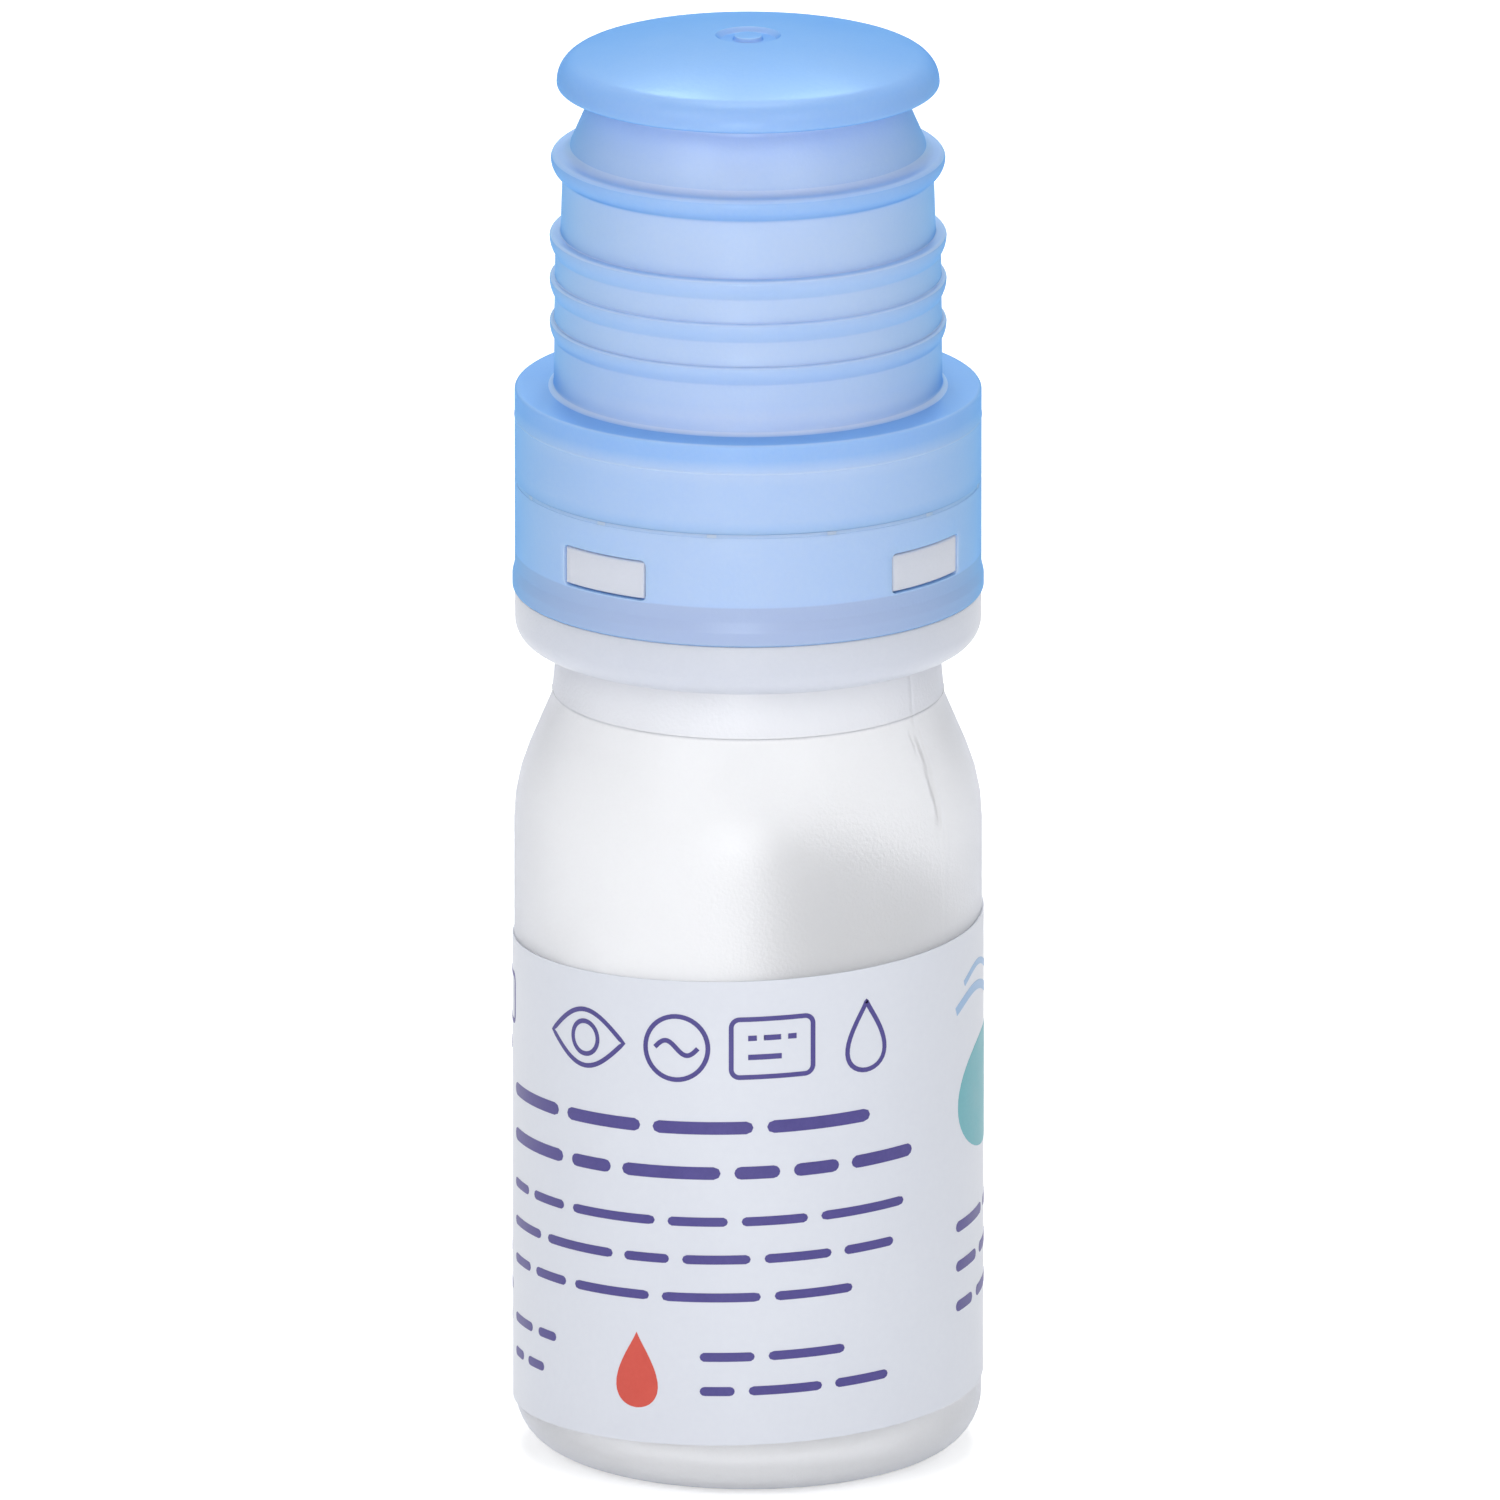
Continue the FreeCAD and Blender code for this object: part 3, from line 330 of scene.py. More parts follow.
def printed_lines_tree():
    """Geometry Nodes: rows of rounded bars, one for each word, laid on the curved film."""
    tree = bpy.data.node_groups.new("printed_lines", "GeometryNodeTree")
    for name, kind in (("Rows", "Int"), ("Words", "Int"), ("Seed", "Int"), ("Left", "Float"),
                       ("Top", "Float"), ("Width", "Float"), ("Row Step", "Float"), ("Bar Height", "Float"),
                       ("Shortest", "Float"), ("Longest", "Float"), ("Gap", "Float"), ("Ink", "Material")):
        tree.interface.new_socket(name, in_out="INPUT", socket_type=f"NodeSocket{kind}")
    tree.interface.new_socket("Geometry", in_out="OUTPUT", socket_type="NodeSocketGeometry")
    given = place(tree, "NodeGroupInput").outputs

    def reckon(operation, *terms):
        return place(tree, "ShaderNodeMath", dict(enumerate(terms)), operation=operation).outputs[0]

    index = place(tree, "GeometryNodeInputIndex").outputs[0]
    row = place(tree, "FunctionNodeIntegerMath", {0: index, 1: given["Words"]},
                operation="DIVIDE_FLOOR").outputs[0]
    count = place(tree, "FunctionNodeIntegerMath", {0: given["Rows"], 1: given["Words"]},
                  operation="MULTIPLY")
    length = place(tree, "FunctionNodeRandomValue",
                   {2: given["Shortest"], 3: given["Longest"], 7: index, 8: given["Seed"]}).outputs[1]
    run = place(tree, "GeometryNodeAccumulateField", {0: reckon("ADD", length, given["Gap"]), 1: row}).outputs
    middle = reckon("ADD", reckon("ADD", given["Left"], run["Trailing"]), reckon("MULTIPLY", length, 0.5))
    up = reckon("SUBTRACT", given["Top"], reckon("MULTIPLY", row, given["Row Step"]))
    fits = reckon("LESS_THAN", reckon("SUBTRACT", run["Leading"], given["Gap"]), given["Width"])
    words = place(tree, "GeometryNodeMeshLine", {"Count": count.outputs[0], "Offset": (0, 0, 0)}).outputs[0]
    for name, field in (("length", length), ("middle", middle), ("up", up)):
        words = place(tree, "GeometryNodeStoreNamedAttribute",
                      {"Geometry": words, "Name": name, "Value": field}).outputs[0]
    bar = place(tree, "GeometryNodeMeshCube", {"Vertices X": 13, "Vertices Y": 2, "Vertices Z": 2}).outputs[0]
    bars = place(tree, "GeometryNodeInstanceOnPoints",
                 {"Points": words, "Selection": fits, "Instance": bar}).outputs[0]
    bars = place(tree, "GeometryNodeRealizeInstances", {"Geometry": bars}).outputs[0]
    length, middle, up = (place(tree, "GeometryNodeInputNamedAttribute", {"Name": name}).outputs[0]
                          for name in ("length", "middle", "up"))
    position = place(tree, "GeometryNodeInputPosition").outputs[0]
    spot = place(tree, "ShaderNodeSeparateXYZ", {0: position}).outputs
    along = reckon("MULTIPLY", reckon("SINE", reckon("MULTIPLY", spot["X"], math.pi)),
                   reckon("MULTIPLY", length, 0.5))
    bend = reckon("MULTIPLY", given["Bar Height"], 0.5)
    past = reckon("MAXIMUM", reckon("SUBTRACT", reckon("ABSOLUTE", along),
                                    reckon("SUBTRACT", reckon("MULTIPLY", length, 0.5), bend)), 0.0)
    half = reckon("SQRT", reckon("MAXIMUM", reckon("SUBTRACT", reckon("MULTIPLY", bend, bend),
                                                   reckon("MULTIPLY", past, past)), 0.0004))
    across = reckon("ADD", middle, along)
    height = reckon("ADD", up, reckon("MULTIPLY", reckon("MULTIPLY", spot["Z"], 2.0), half))
    angle = reckon("DIVIDE", across, FILM_RADIUS)
    radius = reckon("MULTIPLY", reckon("ADD", reckon("MULTIPLY", spot["Y"], INK_FILM),
                                       FILM_RADIUS + INK_FILM / 2), MM)
    rise = reckon("MULTIPLY_ADD", angle, LABEL_CLIMB / math.tau, LABEL_FOOT)
    place_on_film = place(tree, "ShaderNodeCombineXYZ", {
        "X": reckon("MULTIPLY", radius, reckon("SINE", angle)),
        "Y": reckon("MULTIPLY", reckon("MULTIPLY", radius, reckon("COSINE", angle)), -1.0),
        "Z": reckon("MULTIPLY", reckon("ADD", rise, height), MM)}).outputs[0]
    bars = place(tree, "GeometryNodeSetPosition", {"Geometry": bars, "Position": place_on_film}).outputs[0]
    bars = place(tree, "GeometryNodeSetMaterial", {"Geometry": bars, "Material": given["Ink"]}).outputs[0]
    place(tree, "NodeGroupOutput", {0: bars})
    return tree


def grown(piece, tree, **values):
    """The plain mesh that a tree makes of a piece, with the tree's inputs set."""
    maker = piece.modifiers.new(tree.name, "NODES")
    maker.node_group = tree
    for item in tree.interface.items_tree:
        if item.in_out == "INPUT" and item.name.replace(" ", "_") in values:
            maker[item.identifier] = values[item.name.replace(" ", "_")]
    graph = bpy.context.evaluated_depsgraph_get()
    mesh = bpy.data.meshes.new_from_object(piece.evaluated_get(graph), depsgraph=graph)
    piece.modifiers.remove(maker)
    return mesh


PRINTED_LINES = printed_lines_tree()
MOST_WORDS = 24
WORD_GAP = 0.75
form = bmesh.new()
for rows, left, top, width, step, height, shortest, longest, seed in (
        (2, -17.5, 17.6, 27.5, 2.5, 0.7, 2.2, 6.2, 3),
        (3, -17.5, 12.4, 27.0, 2.1, 0.5, 1.6, 5.4, 8),
        (2, -2.6, 4.9, 11.0, 1.9, 0.5, 1.6, 4.2, 5),
        (2, -17.5, 4.9, 6.5, 1.9, 0.5, 1.6, 3.4, 12),
        (3, 13.6, 9.6, 11.0, 2.2, 0.6, 2.0, 4.6, 21),
        (9, -23.0, 19.6, 4.2, 1.9, 0.6, 1.0, 2.6, 31),
        (9, 27.5, 20.5, 10.0, 1.9, 0.6, 1.4, 3.8, 44)):
    carrier = bpy.data.objects.new("carrier", bpy.data.meshes.new("carrier"))
    bpy.context.scene.collection.objects.link(carrier)
    mesh = grown(carrier, PRINTED_LINES, Rows=rows, Words=MOST_WORDS, Seed=seed, Left=left, Top=top,
                 Width=width, Row_Step=step, Bar_Height=height, Shortest=shortest, Longest=longest,
                 Gap=WORD_GAP, Ink=indigo_ink)
    form.from_mesh(mesh)
    bpy.data.objects.remove(carrier)
lines = new_piece("label_lines", form, indigo_ink)
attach(lines, "bottle")


def drop_outline(across, up, size, count=40):
    """A drop with its point upwards, as tall as the size."""
    points = []
    for number in range(count):
        turn = math.tau * number / count
        points.append((across + 0.42 * size * math.sin(turn) * abs(math.sin(turn / 2)) ** 1.4,
                       up + 0.5 * size * math.cos(turn)))
    return points


def oval_outline(across, up, width, height, count=48):
    return [(across + width / 2 * math.cos(math.tau * number / count),
             up + height / 2 * math.sin(math.tau * number / count)) for number in range(count)]


def eye_outline(across, up, width, height, count=24):
    """Two arcs that meet in the corners of an eye."""
    lids = []
    for side in (1, -1):
        for number in range(count):
            share = number / count
            lids.append((across + side * width * (0.5 - share),
                         up + side * height / 2 * math.sin(math.pi * share)))
    return lids


def frame_outline(across, up, width, height, bend=0.45):
    corners = [(across + side * width / 2, up + rise * height / 2, bend)
               for side, rise in ((1, -1), (1, 1), (-1, 1), (-1, -1))]
    return divided(rounded(corners), 0.6)


def wave(across, up, width, height, count=24):
    return [(across + width * (number / count - 0.5), up + height / 2 * math.sin(math.tau * number / count))
            for number in range(count + 1)]


def ink_stroke(form, points, width, closed=True):
    """A printed line of even width along points on the film."""
    points = [Vector(point) for point in points]
    rows = []
    for number, point in enumerate(points):
        before = points[number - 1] if closed or number else point
        after = points[(number + 1) % len(points)] if closed or number + 1 < len(points) else point
        along = (after - before).normalized() * width / 2
        side = Vector((-along.y, along.x))
        rows.append([form.verts.new(on_label(*(point + side * way), lift)) for way, lift in (
            (1, 0), (1, INK_FILM), (-1, INK_FILM), (-1, 0))])
    strip(form, rows, closed)


def ink_patch(form, points, lift=INK_FILM):
    """A printed area inside a mirrored outline, laid in upright columns that follow the film."""
    left = min(point[0] for point in points)
    right = max(point[0] for point in points)
    columns = 24
    edges = list(zip(points, points[1:] + points[:1]))
    rows = []
    for number in range(columns + 1):
        share = 0.998 * math.sin(math.pi * (number / columns - 0.5))
        across = (left + right) / 2 + (right - left) / 2 * share
        cuts = []
        for (x, y), (after_x, after_y) in edges:
            if min(x, after_x) <= across <= max(x, after_x) and x != after_x:
                cuts.append(y + (after_y - y) * (across - x) / (after_x - x))
        low, high = min(cuts), max(cuts)
        rows.append([form.verts.new(on_label(across, up, off)) for up, off in (
            (low, 0), (low, lift), (high, lift), (high, 0))])
    strip(form, rows, closed=False)


marks = bmesh.new()
ink_stroke(marks, eye_outline(-9.6, 22.0, 5.2, 3.1), 0.26)
ink_stroke(marks, oval_outline(-9.6, 22.0, 1.8, 1.8), 0.26)
ink_stroke(marks, oval_outline(-3.9, 22.0, 3.5, 3.5), 0.26)
ink_stroke(marks, wave(-3.9, 22.0, 2.4, 0.8), 0.26, closed=False)
ink_stroke(marks, frame_outline(1.3, 22.0, 4.4, 3.2), 0.26)
ink_stroke(marks, [(0.0, 22.55), (1.3, 22.55), (2.6, 22.55)], 0.3, closed=False)
ink_stroke(marks, [(0.0, 21.5), (0.9, 21.5), (1.8, 21.5)], 0.3, closed=False)
ink_stroke(marks, drop_outline(6.6, 22.0, 3.8), 0.26)
ink_stroke(marks, frame_outline(-20.4, 22.4, 5.2, 2.6), 0.26)
ink_patch(marks, drop_outline(-21.7, 22.4, 1.7))
teal = bmesh.new()
ink_patch(teal, oval_outline(18.6, 16.2, 9.6, 6.4))
ink_patch(teal, drop_outline(32.4, 2.6, 2.6))
coral = bmesh.new()
ink_patch(coral, drop_outline(-6.2, 4.0, 4.2))
sky = bmesh.new()
ink_stroke(sky, wave(18.6, 21.6, 10.0, 1.3), 0.5, closed=False)
ink_stroke(sky, wave(18.6, 22.9, 8.0, 1.1), 0.35, closed=False)
for name, form, finish in (("label_marks", marks, indigo_ink), ("label_oval", teal, teal_ink),
                           ("label_drop", coral, coral_ink), ("label_waves", sky, sky_ink)):
    bmesh.ops.recalc_face_normals(form, faces=form.faces[:])
    printed = new_piece(name, form, finish)
    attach(printed, "bottle")

# Dispenser base: a stiff white moulding that is pressed over the bead of the neck and can't be pulled off.
# Its collar shows under the blue band, and four lugs reach out through the windows of the band.
# The ring and the socket on its deck carry the cap and the nozzle.
COLLAR_RADIUS = 12.45
BASE_OUTLINE = [
    (9.65, 44.4, 0.15), (COLLAR_RADIUS, 44.4, 1.3), (COLLAR_RADIUS, 47.3, 0.08), (11.35, 47.3),
    (11.35, 54.3, 0.15), (9.23, 54.3, 0.1), (9.23, 57.0, 0.3), (9.31, 57.6, 0.4), (9.23, 58.2, 0.3),
    (9.23, 59.4, 0.3), (8.33, 59.4, 0.25), (8.33, 54.3, 0.3), (5.9, 54.3, 0.3), (5.9, 56.4, 0.1),
    (4.95, 56.4, 0.05), (4.95, 54.3), (2.82, 54.3), (2.82, 50.6), (3.92, 50.6, 0.2), (3.92, 53.1),
    (7.4, 53.1), (7.4, 49.6), (8.0, 49.6, 0.1), (8.25, 50.1, 0.2), (8.25, 53.1),
    (9.65, 53.1), (9.65, 51.5), (10.25, 50.66), (10.25, 49.9), (9.65, 49.9),
]
WINDOW_TURN = math.radians(51)
WINDOW_SWEEP = math.radians(26)
WINDOW_FOOT = 49.5
WINDOW_TOP = 51.7
LUG_GAP = 0.1
LUG_SINK = 0.06

base_finish, tree, shader = new_finish("white_collar_plastic", IOR=1.5, Subsurface_Weight=0.5,
                                       Subsurface_Radius=(1, 1, 1), Subsurface_Scale=0.001)
tone = put_skin(tree, shader, 200, 4200, 0.32, 0.42, 0.2)
tree.links.new(mixed(tree, tone, colour(211, 216, 228), colour(219, 223, 234)), shader.inputs["Base Color"])
base = new_piece("base_moulding", turned_form(divided(rounded(BASE_OUTLINE), 2)), base_finish)
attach(base, "bottle")
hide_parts("dispenser_base")


def copied_round_tree():
    """Geometry Nodes: copies of one form, evenly spaced about the upright axis."""
    tree = bpy.data.node_groups.new("copied_round", "GeometryNodeTree")
    tree.interface.new_socket("Geometry", in_out="INPUT", socket_type="NodeSocketGeometry")
    for name, kind in (("Count", "Int"), ("First Turn", "Float"), ("Finish", "Material")):
        tree.interface.new_socket(name, in_out="INPUT", socket_type=f"NodeSocket{kind}")
    tree.interface.new_socket("Geometry", in_out="OUTPUT", socket_type="NodeSocketGeometry")
    given = place(tree, "NodeGroupInput").outputs
    spots = place(tree, "GeometryNodeMeshLine", {"Count": given["Count"], "Offset": (0, 0, 0)}).outputs[0]
    index = place(tree, "GeometryNodeInputIndex").outputs[0]
    share = place(tree, "ShaderNodeMath", {0: index, 1: given["Count"]}, operation="DIVIDE").outputs[0]
    turn = place(tree, "ShaderNodeMath", {0: share, 1: math.tau, 2: given["First Turn"]},
                 operation="MULTIPLY_ADD").outputs[0]
    rotation = place(tree, "ShaderNodeCombineXYZ", {"Z": turn}).outputs[0]
    copies = place(tree, "GeometryNodeInstanceOnPoints",
                   {"Points": spots, "Instance": given["Geometry"], "Rotation": rotation}).outputs[0]
    whole = place(tree, "GeometryNodeRealizeInstances", {"Geometry": copies}).outputs[0]
    whole = place(tree, "GeometryNodeSetMaterial",
                  {"Geometry": whole, "Material": given["Finish"]}).outputs[0]
    place(tree, "NodeGroupOutput", {0: whole})
    return tree


def ring_block(inner, outer, foot, top, sweep_angle, bend, steps=14):
    """A piece of a ring about the axis, centred on the X direction, with its long edges eased."""
    form = bmesh.new()
    rows = []
    for number in range(steps + 1):
        angle = sweep_angle * (number / steps - 0.5)
        rows.append([
            form.verts.new((radius * MM * math.cos(angle), radius * MM * math.sin(angle), height * MM))
            for radius, height in ((inner, foot), (outer, foot), (outer, top), (inner, top))])
    strip(form, rows, closed=False)
    bmesh.ops.recalc_face_normals(form, faces=form.faces[:])
    rim = [edge for edge in form.edges if edge.calc_face_angle(0) > 1
           and sum(vertex.co.xy.length for vertex in edge.verts) / 2 > (outer - 0.01) * MM]
    bmesh.ops.bevel(form, geom=rim, offset=bend * MM, segments=3, profile=0.5, affect="EDGES",
                    clamp_overlap=True)
    return form


COPIED_ROUND = copied_round_tree()
one_lug = ring_block(11.0, COLLAR_RADIUS - LUG_SINK, WINDOW_FOOT + LUG_GAP, WINDOW_TOP - LUG_GAP,
                     WINDOW_SWEEP - 2 * LUG_GAP / COLLAR_RADIUS, 0.12)
lugs = new_piece("window_lugs", one_lug, base_finish)
lugs.data = grown(lugs, COPIED_ROUND, Count=4, First_Turn=WINDOW_TURN, Finish=base_finish)
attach(lugs, "bottle")

# Tamper band: moulded in one with the cap, from translucent blue polyethylene, and torn off it at the first
# opening. The lugs of the base fill its four windows and keep it from turning, so it stays behind on the
# base. Thin bridges reach up from it to the cap's edge.
BAND_BORE = 11.45
BAND_RADIUS = 12.45
FOOT_RADIUS = 12.58
TEAR_RADIUS = 12.42
BAND_OUTLINE = [
    (BAND_BORE, 47.3, 0.1), (FOOT_RADIUS, 47.3, 0.22), (FOOT_RADIUS, 48.1, 0.4), (BAND_RADIUS, 48.65, 0.6),
    (BAND_RADIUS, 49.4), (BAND_RADIUS, WINDOW_FOOT), (BAND_RADIUS, WINDOW_TOP), (BAND_RADIUS, 53.3, 0.03),
    (TEAR_RADIUS, 53.3), (TEAR_RADIUS, 53.49), (BAND_BORE, 53.49, 0.05), (BAND_BORE, WINDOW_TOP),
    (BAND_BORE, WINDOW_FOOT),
]
WINDOW_CORNER = 0.3
WINDOW_EDGE = 0.06
PALE_BLUE = colour(236, 233, 252)
DEEP_BLUE = colour(170, 202, 252)
# Painted shade: a greyer blue for the band's lower part, below the windows.
FOOT_SHADE_BLUE = colour(204, 206, 231)
DYE_DRIFT = 0.24


def cut_windows(form, steps):
    """Open the windows in the turned band: drop the faces there and close the walls between."""
    cells = set()
    first = round(steps * (WINDOW_TURN - WINDOW_SWEEP / 2) / math.tau)
    width = round(steps * WINDOW_SWEEP / math.tau)
    for window in range(4):
        cells |= {(first + window * steps // 4 + number) % steps for number in range(width)}
    doomed = []
    for face in form.faces:
        middle = face.calc_center_median()
        cell = math.floor(steps * math.atan2(middle.y, middle.x) / math.tau) % steps
        if WINDOW_FOOT * MM < middle.z < WINDOW_TOP * MM and cell in cells:
            doomed.append(face)
    bmesh.ops.delete(form, geom=doomed, context="FACES")
    rims = {}
    for vertex in form.verts:
        if not vertex.is_boundary:
            continue
        key = (round(math.atan2(vertex.co.y, vertex.co.x), 5), round(vertex.co.z, 7))
        rims.setdefault(key, []).append(vertex)
    for edge in [edge for edge in form.edges if edge.is_boundary]:
        if edge.verts[0].co.xy.length < (BAND_BORE + 0.01) * MM:
            continue
        one, other = edge.verts
        facing = []
        for vertex in (other, one):
            key = (round(math.atan2(vertex.co.y, vertex.co.x), 5), round(vertex.co.z, 7))
            facing.append(next(match for match in rims[key] if match is not vertex))
        form.faces.new((one, other, *facing))
    bmesh.ops.recalc_face_normals(form, faces=form.faces[:])
    corners = []
    for edge in form.edges:
        one, other = edge.verts
        if abs(one.co.z - other.co.z) < 1e-8 and abs(one.co.xy.length - other.co.xy.length) > 0.5 * MM:
            if min(abs(one.co.z - WINDOW_FOOT * MM), abs(one.co.z - WINDOW_TOP * MM)) < 1e-7:
                if edge.calc_face_angle(0) > 1:
                    corners.append(edge)
    bmesh.ops.bevel(form, geom=corners, offset=WINDOW_CORNER * MM, segments=4, profile=0.5, affect="EDGES")
    rim = [edge for edge in form.edges if edge.calc_face_angle(0) > 1
           and WINDOW_FOOT * MM - 1e-6 < edge.verts[0].co.z < WINDOW_TOP * MM + 1e-6
           and WINDOW_FOOT * MM - 1e-6 < edge.verts[1].co.z < WINDOW_TOP * MM + 1e-6
           and min(vertex.co.xy.length for vertex in edge.verts) > (COLLAR_RADIUS - 0.01) * MM]
    bmesh.ops.bevel(form, geom=rim, offset=WINDOW_EDGE * MM, segments=2, profile=0.5, affect="EDGES",
                    clamp_overlap=True)


def note_dye_and_light(piece, levels):
    """Store at each point a share at its height, from thin to thick wall, with painted highlights and shade
    set in the same levels.
    """
    heights = [vertex.co.z / MM for vertex in piece.data.vertices]
    shares = numpy.interp(heights, *zip(*levels))
    piece.data.attributes.new("dye_and_painted_light", "FLOAT", "POINT").data.foreach_set("value", shares)


def blue_plastic(name, tint):
    """Translucent blue polyethylene: milky where the wall is thin, deeper where it is thick, with painted
    highlights and shade from the stored share and the foot mark.
    """
    finish, tree, shader = new_finish(
        name, IOR=1.5, Specular_IOR_Level=0.4, Subsurface_Weight=0.6, Subsurface_Radius=(1, 1, 1),
        Subsurface_Scale=0.0005, Coat_Weight=1, Coat_IOR=1.03, Coat_Roughness=0.5, Coat_Tint=tint)
    tone = put_skin(tree, shader, 160, 4000, 0.29, 0.37, 0.12)
    dye_and_painted_light = place(tree, "ShaderNodeAttribute", attribute_name="dye_and_painted_light").outputs["Fac"]
    drift = place(tree, "ShaderNodeMath", {0: tone, 1: DYE_DRIFT, 2: -DYE_DRIFT / 2},
                  operation="MULTIPLY_ADD").outputs[0]
    share = place(tree, "ShaderNodeMath", {0: dye_and_painted_light, 1: drift}, operation="ADD", use_clamp=True).outputs[0]
    # Painted shade: where 'foot' is marked, the colour turns to a greyer blue.
    foot = place(tree, "ShaderNodeAttribute", attribute_name="foot").outputs["Fac"]
    tree.links.new(mixed(tree, foot, mixed(tree, share, PALE_BLUE, DEEP_BLUE), FOOT_SHADE_BLUE),
                   shader.inputs["Base Color"])
    return finish


band_finish = blue_plastic("blue_cap_plastic", (0.72, 0.87, 0.98, 1))
form = turned_form(rounded(BAND_OUTLINE))
cut_windows(form, STEPS_ROUND)
band = new_piece("tear_band", form, band_finish)
note_dye_and_light(band, ((47, 0.4), (54, 0.4)))
# Painted shade: points below the windows are marked 'foot' and take a greyer blue, standing in for the
# darker, less lit lower part of the band.
band.data.attributes.new("foot", "FLOAT", "POINT").data.foreach_set(
    "value", [float(vertex.co.z < (WINDOW_FOOT - 0.05) * MM) for vertex in band.data.vertices])
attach(band, "bottle")
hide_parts("tamper_band")

one_bridge = ring_block(11.9, 12.435, 53.2, 53.495, math.radians(2.6), 0.05, steps=2)
bridges = new_piece("tear_bridges", one_bridge, band_finish)
bridges.data = grown(bridges, COPIED_ROUND, Count=12, First_Turn=WINDOW_TURN, Finish=band_finish)
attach(bridges, "bottle")

# Cap: one hollow moulding of the same blue polyethylene, pulled straight off and clicked back on by hand.
# A domed disc and a large bead give the fingers a hold, and three finer rings run round the sleeve.
CAP_RADIUS = 12.45
CAP_FOOT = 53.5
CAP_SHOULDER = 58.4
LEDGES_END = 72
SLEEVE_RADII = (10.36, 10.333, 10.307, 10.28)
RING_REACH = 10.58
RING_BEND = 1.4
RING_EDGE = 0.2
RING_FILLET = 0.25
RING_ROOT = 0.07
RING_HEIGHTS = (61.97, 64.34, 66.71)
WAIST_FOOT = 10.0
WAIST_TOP = 9.9
GRIP_HEIGHT = 70.98
GRIP_REACH = 10.51
GRIP_BEND = 1.0
GRIP_EDGE = 0.35
STEM_FOOT = 9.45
STEM_TOP = 8.1
STEM_FILLET = 0.5
DISC_FOOT = 74.93
DISC_REACH = 10.2
DISC_RIM = 75.2
RIM_BEND = 1.4
DOME_CURVE = 36
DIMPLE_RADIUS = 1.75
DIMPLE_DEPTH = 0.3
GATE_RADIUS = 0.8
# How deep the cap's blue shows at each height. Partly real: the thick shoulder, ring faces, bead and disc
# show deeper. Partly painted light: the deeper band at the cap's foot is painted shade along the tear line,
# the pale line at 56.8 mm is a painted highlight on the small ridge, and the pale band at 58.4 to 59.3 mm is
# a painted highlight at the sleeve's foot.
CAP_DYE_AND_LIGHT = [(53.5, 0.75), (53.8, 0.45), (56.7, 0.45), (56.8, 0.15), (56.9, 0.4), (57.1, 0.45), (57.45, 0.85),
           (58.3, 0.85), (58.4, 0.4), (58.5, 0.2), (59.3, 0.1), (60, 0.3)]
for height in RING_HEIGHTS:
    CAP_DYE_AND_LIGHT += [(height - 0.9, 0.3), (height - 0.4, 0.5), (height + 0.12, 0.5), (height + 0.2, 0.35),
                (height + 0.5, 0.3)]
CAP_DYE_AND_LIGHT += [(70.1, 0.3), (70.4, 0.8), (71.2, 0.8), (71.33, 0.35), (71.8, 0.35), (72.1, 0.3),
            (74.6, 0.35), (74.95, 0.9), (76.2, 0.9), (76.55, 0.7)]


def ring_points(height, reach, bend, edge, below, above, root):
    """Outline of a ring on a wall: filleted and round below, an eased edge, a flat top and a root fillet."""
    span = bend + RING_FILLET
    lean = math.acos((span - reach + below) / span)
    fillet_middle = Vector((below + RING_FILLET, height - span * math.sin(lean)))
    return (sweep(fillet_middle, RING_FILLET, math.pi, math.pi - lean)
            + sweep(Vector((reach - bend, height)), bend, -lean, 0)[1:]
            + sweep(Vector((reach - edge, height)), edge, 0, math.pi / 2, 0.3)[1:]
            + sweep(Vector((above + root, height + edge + root)), root, -math.pi / 2, -math.pi, 0.4))


dome_middle = DISC_RIM - math.sqrt((DOME_CURVE - RIM_BEND) ** 2 - (DISC_REACH - RIM_BEND) ** 2)
rim_turn = math.atan2(DISC_RIM - dome_middle, DISC_REACH - RIM_BEND)
dome_top = dome_middle + DOME_CURVE
outside = rounded([(11.55, CAP_FOOT, 0.1), (CAP_RADIUS, CAP_FOOT, 0.03), (CAP_RADIUS, 56.75, 0.06),
                   (CAP_RADIUS + 0.03, 56.82, 0.04), (CAP_RADIUS, 56.9, 0.05),
                   (CAP_RADIUS, CAP_SHOULDER, 0.2), (SLEEVE_RADII[0], CAP_SHOULDER, 0.35),
                   (SLEEVE_RADII[1], 60.5), (11.55, 60.5)])[:-2]
for height, wall, above in zip(RING_HEIGHTS, SLEEVE_RADII[1:], SLEEVE_RADII[1:3] + (WAIST_FOOT,)):
    outside += ring_points(height, RING_REACH, RING_BEND, RING_EDGE, wall, above, RING_ROOT)
outside += ring_points(GRIP_HEIGHT, GRIP_REACH, GRIP_BEND, GRIP_EDGE, WAIST_TOP, STEM_FOOT, STEM_FILLET)
outside += rounded([(STEM_FOOT, GRIP_HEIGHT + GRIP_EDGE + STEM_FILLET), (STEM_TOP, DISC_FOOT, 0.5),
                    (DISC_REACH, DISC_FOOT, 0.2), (DISC_REACH, DISC_RIM)])[1:]
outside += sweep(Vector((DISC_REACH - RIM_BEND, DISC_RIM)), RIM_BEND, 0, rim_turn)[1:]
dimple_turn = math.acos(DIMPLE_RADIUS / DOME_CURVE)
outside += sweep(Vector((0, dome_middle)), DOME_CURVE, rim_turn, dimple_turn, 0.02)[1:]
outside += rounded([(DIMPLE_RADIUS, dome_top), (DIMPLE_RADIUS - 0.25, dome_top - DIMPLE_DEPTH, 0.2),
                    (GATE_RADIUS, dome_top - DIMPLE_DEPTH, 0.08), (GATE_RADIUS - 0.06, dome_top - 0.06, 0.06),
                    (0, dome_top - 0.04)])[1:]
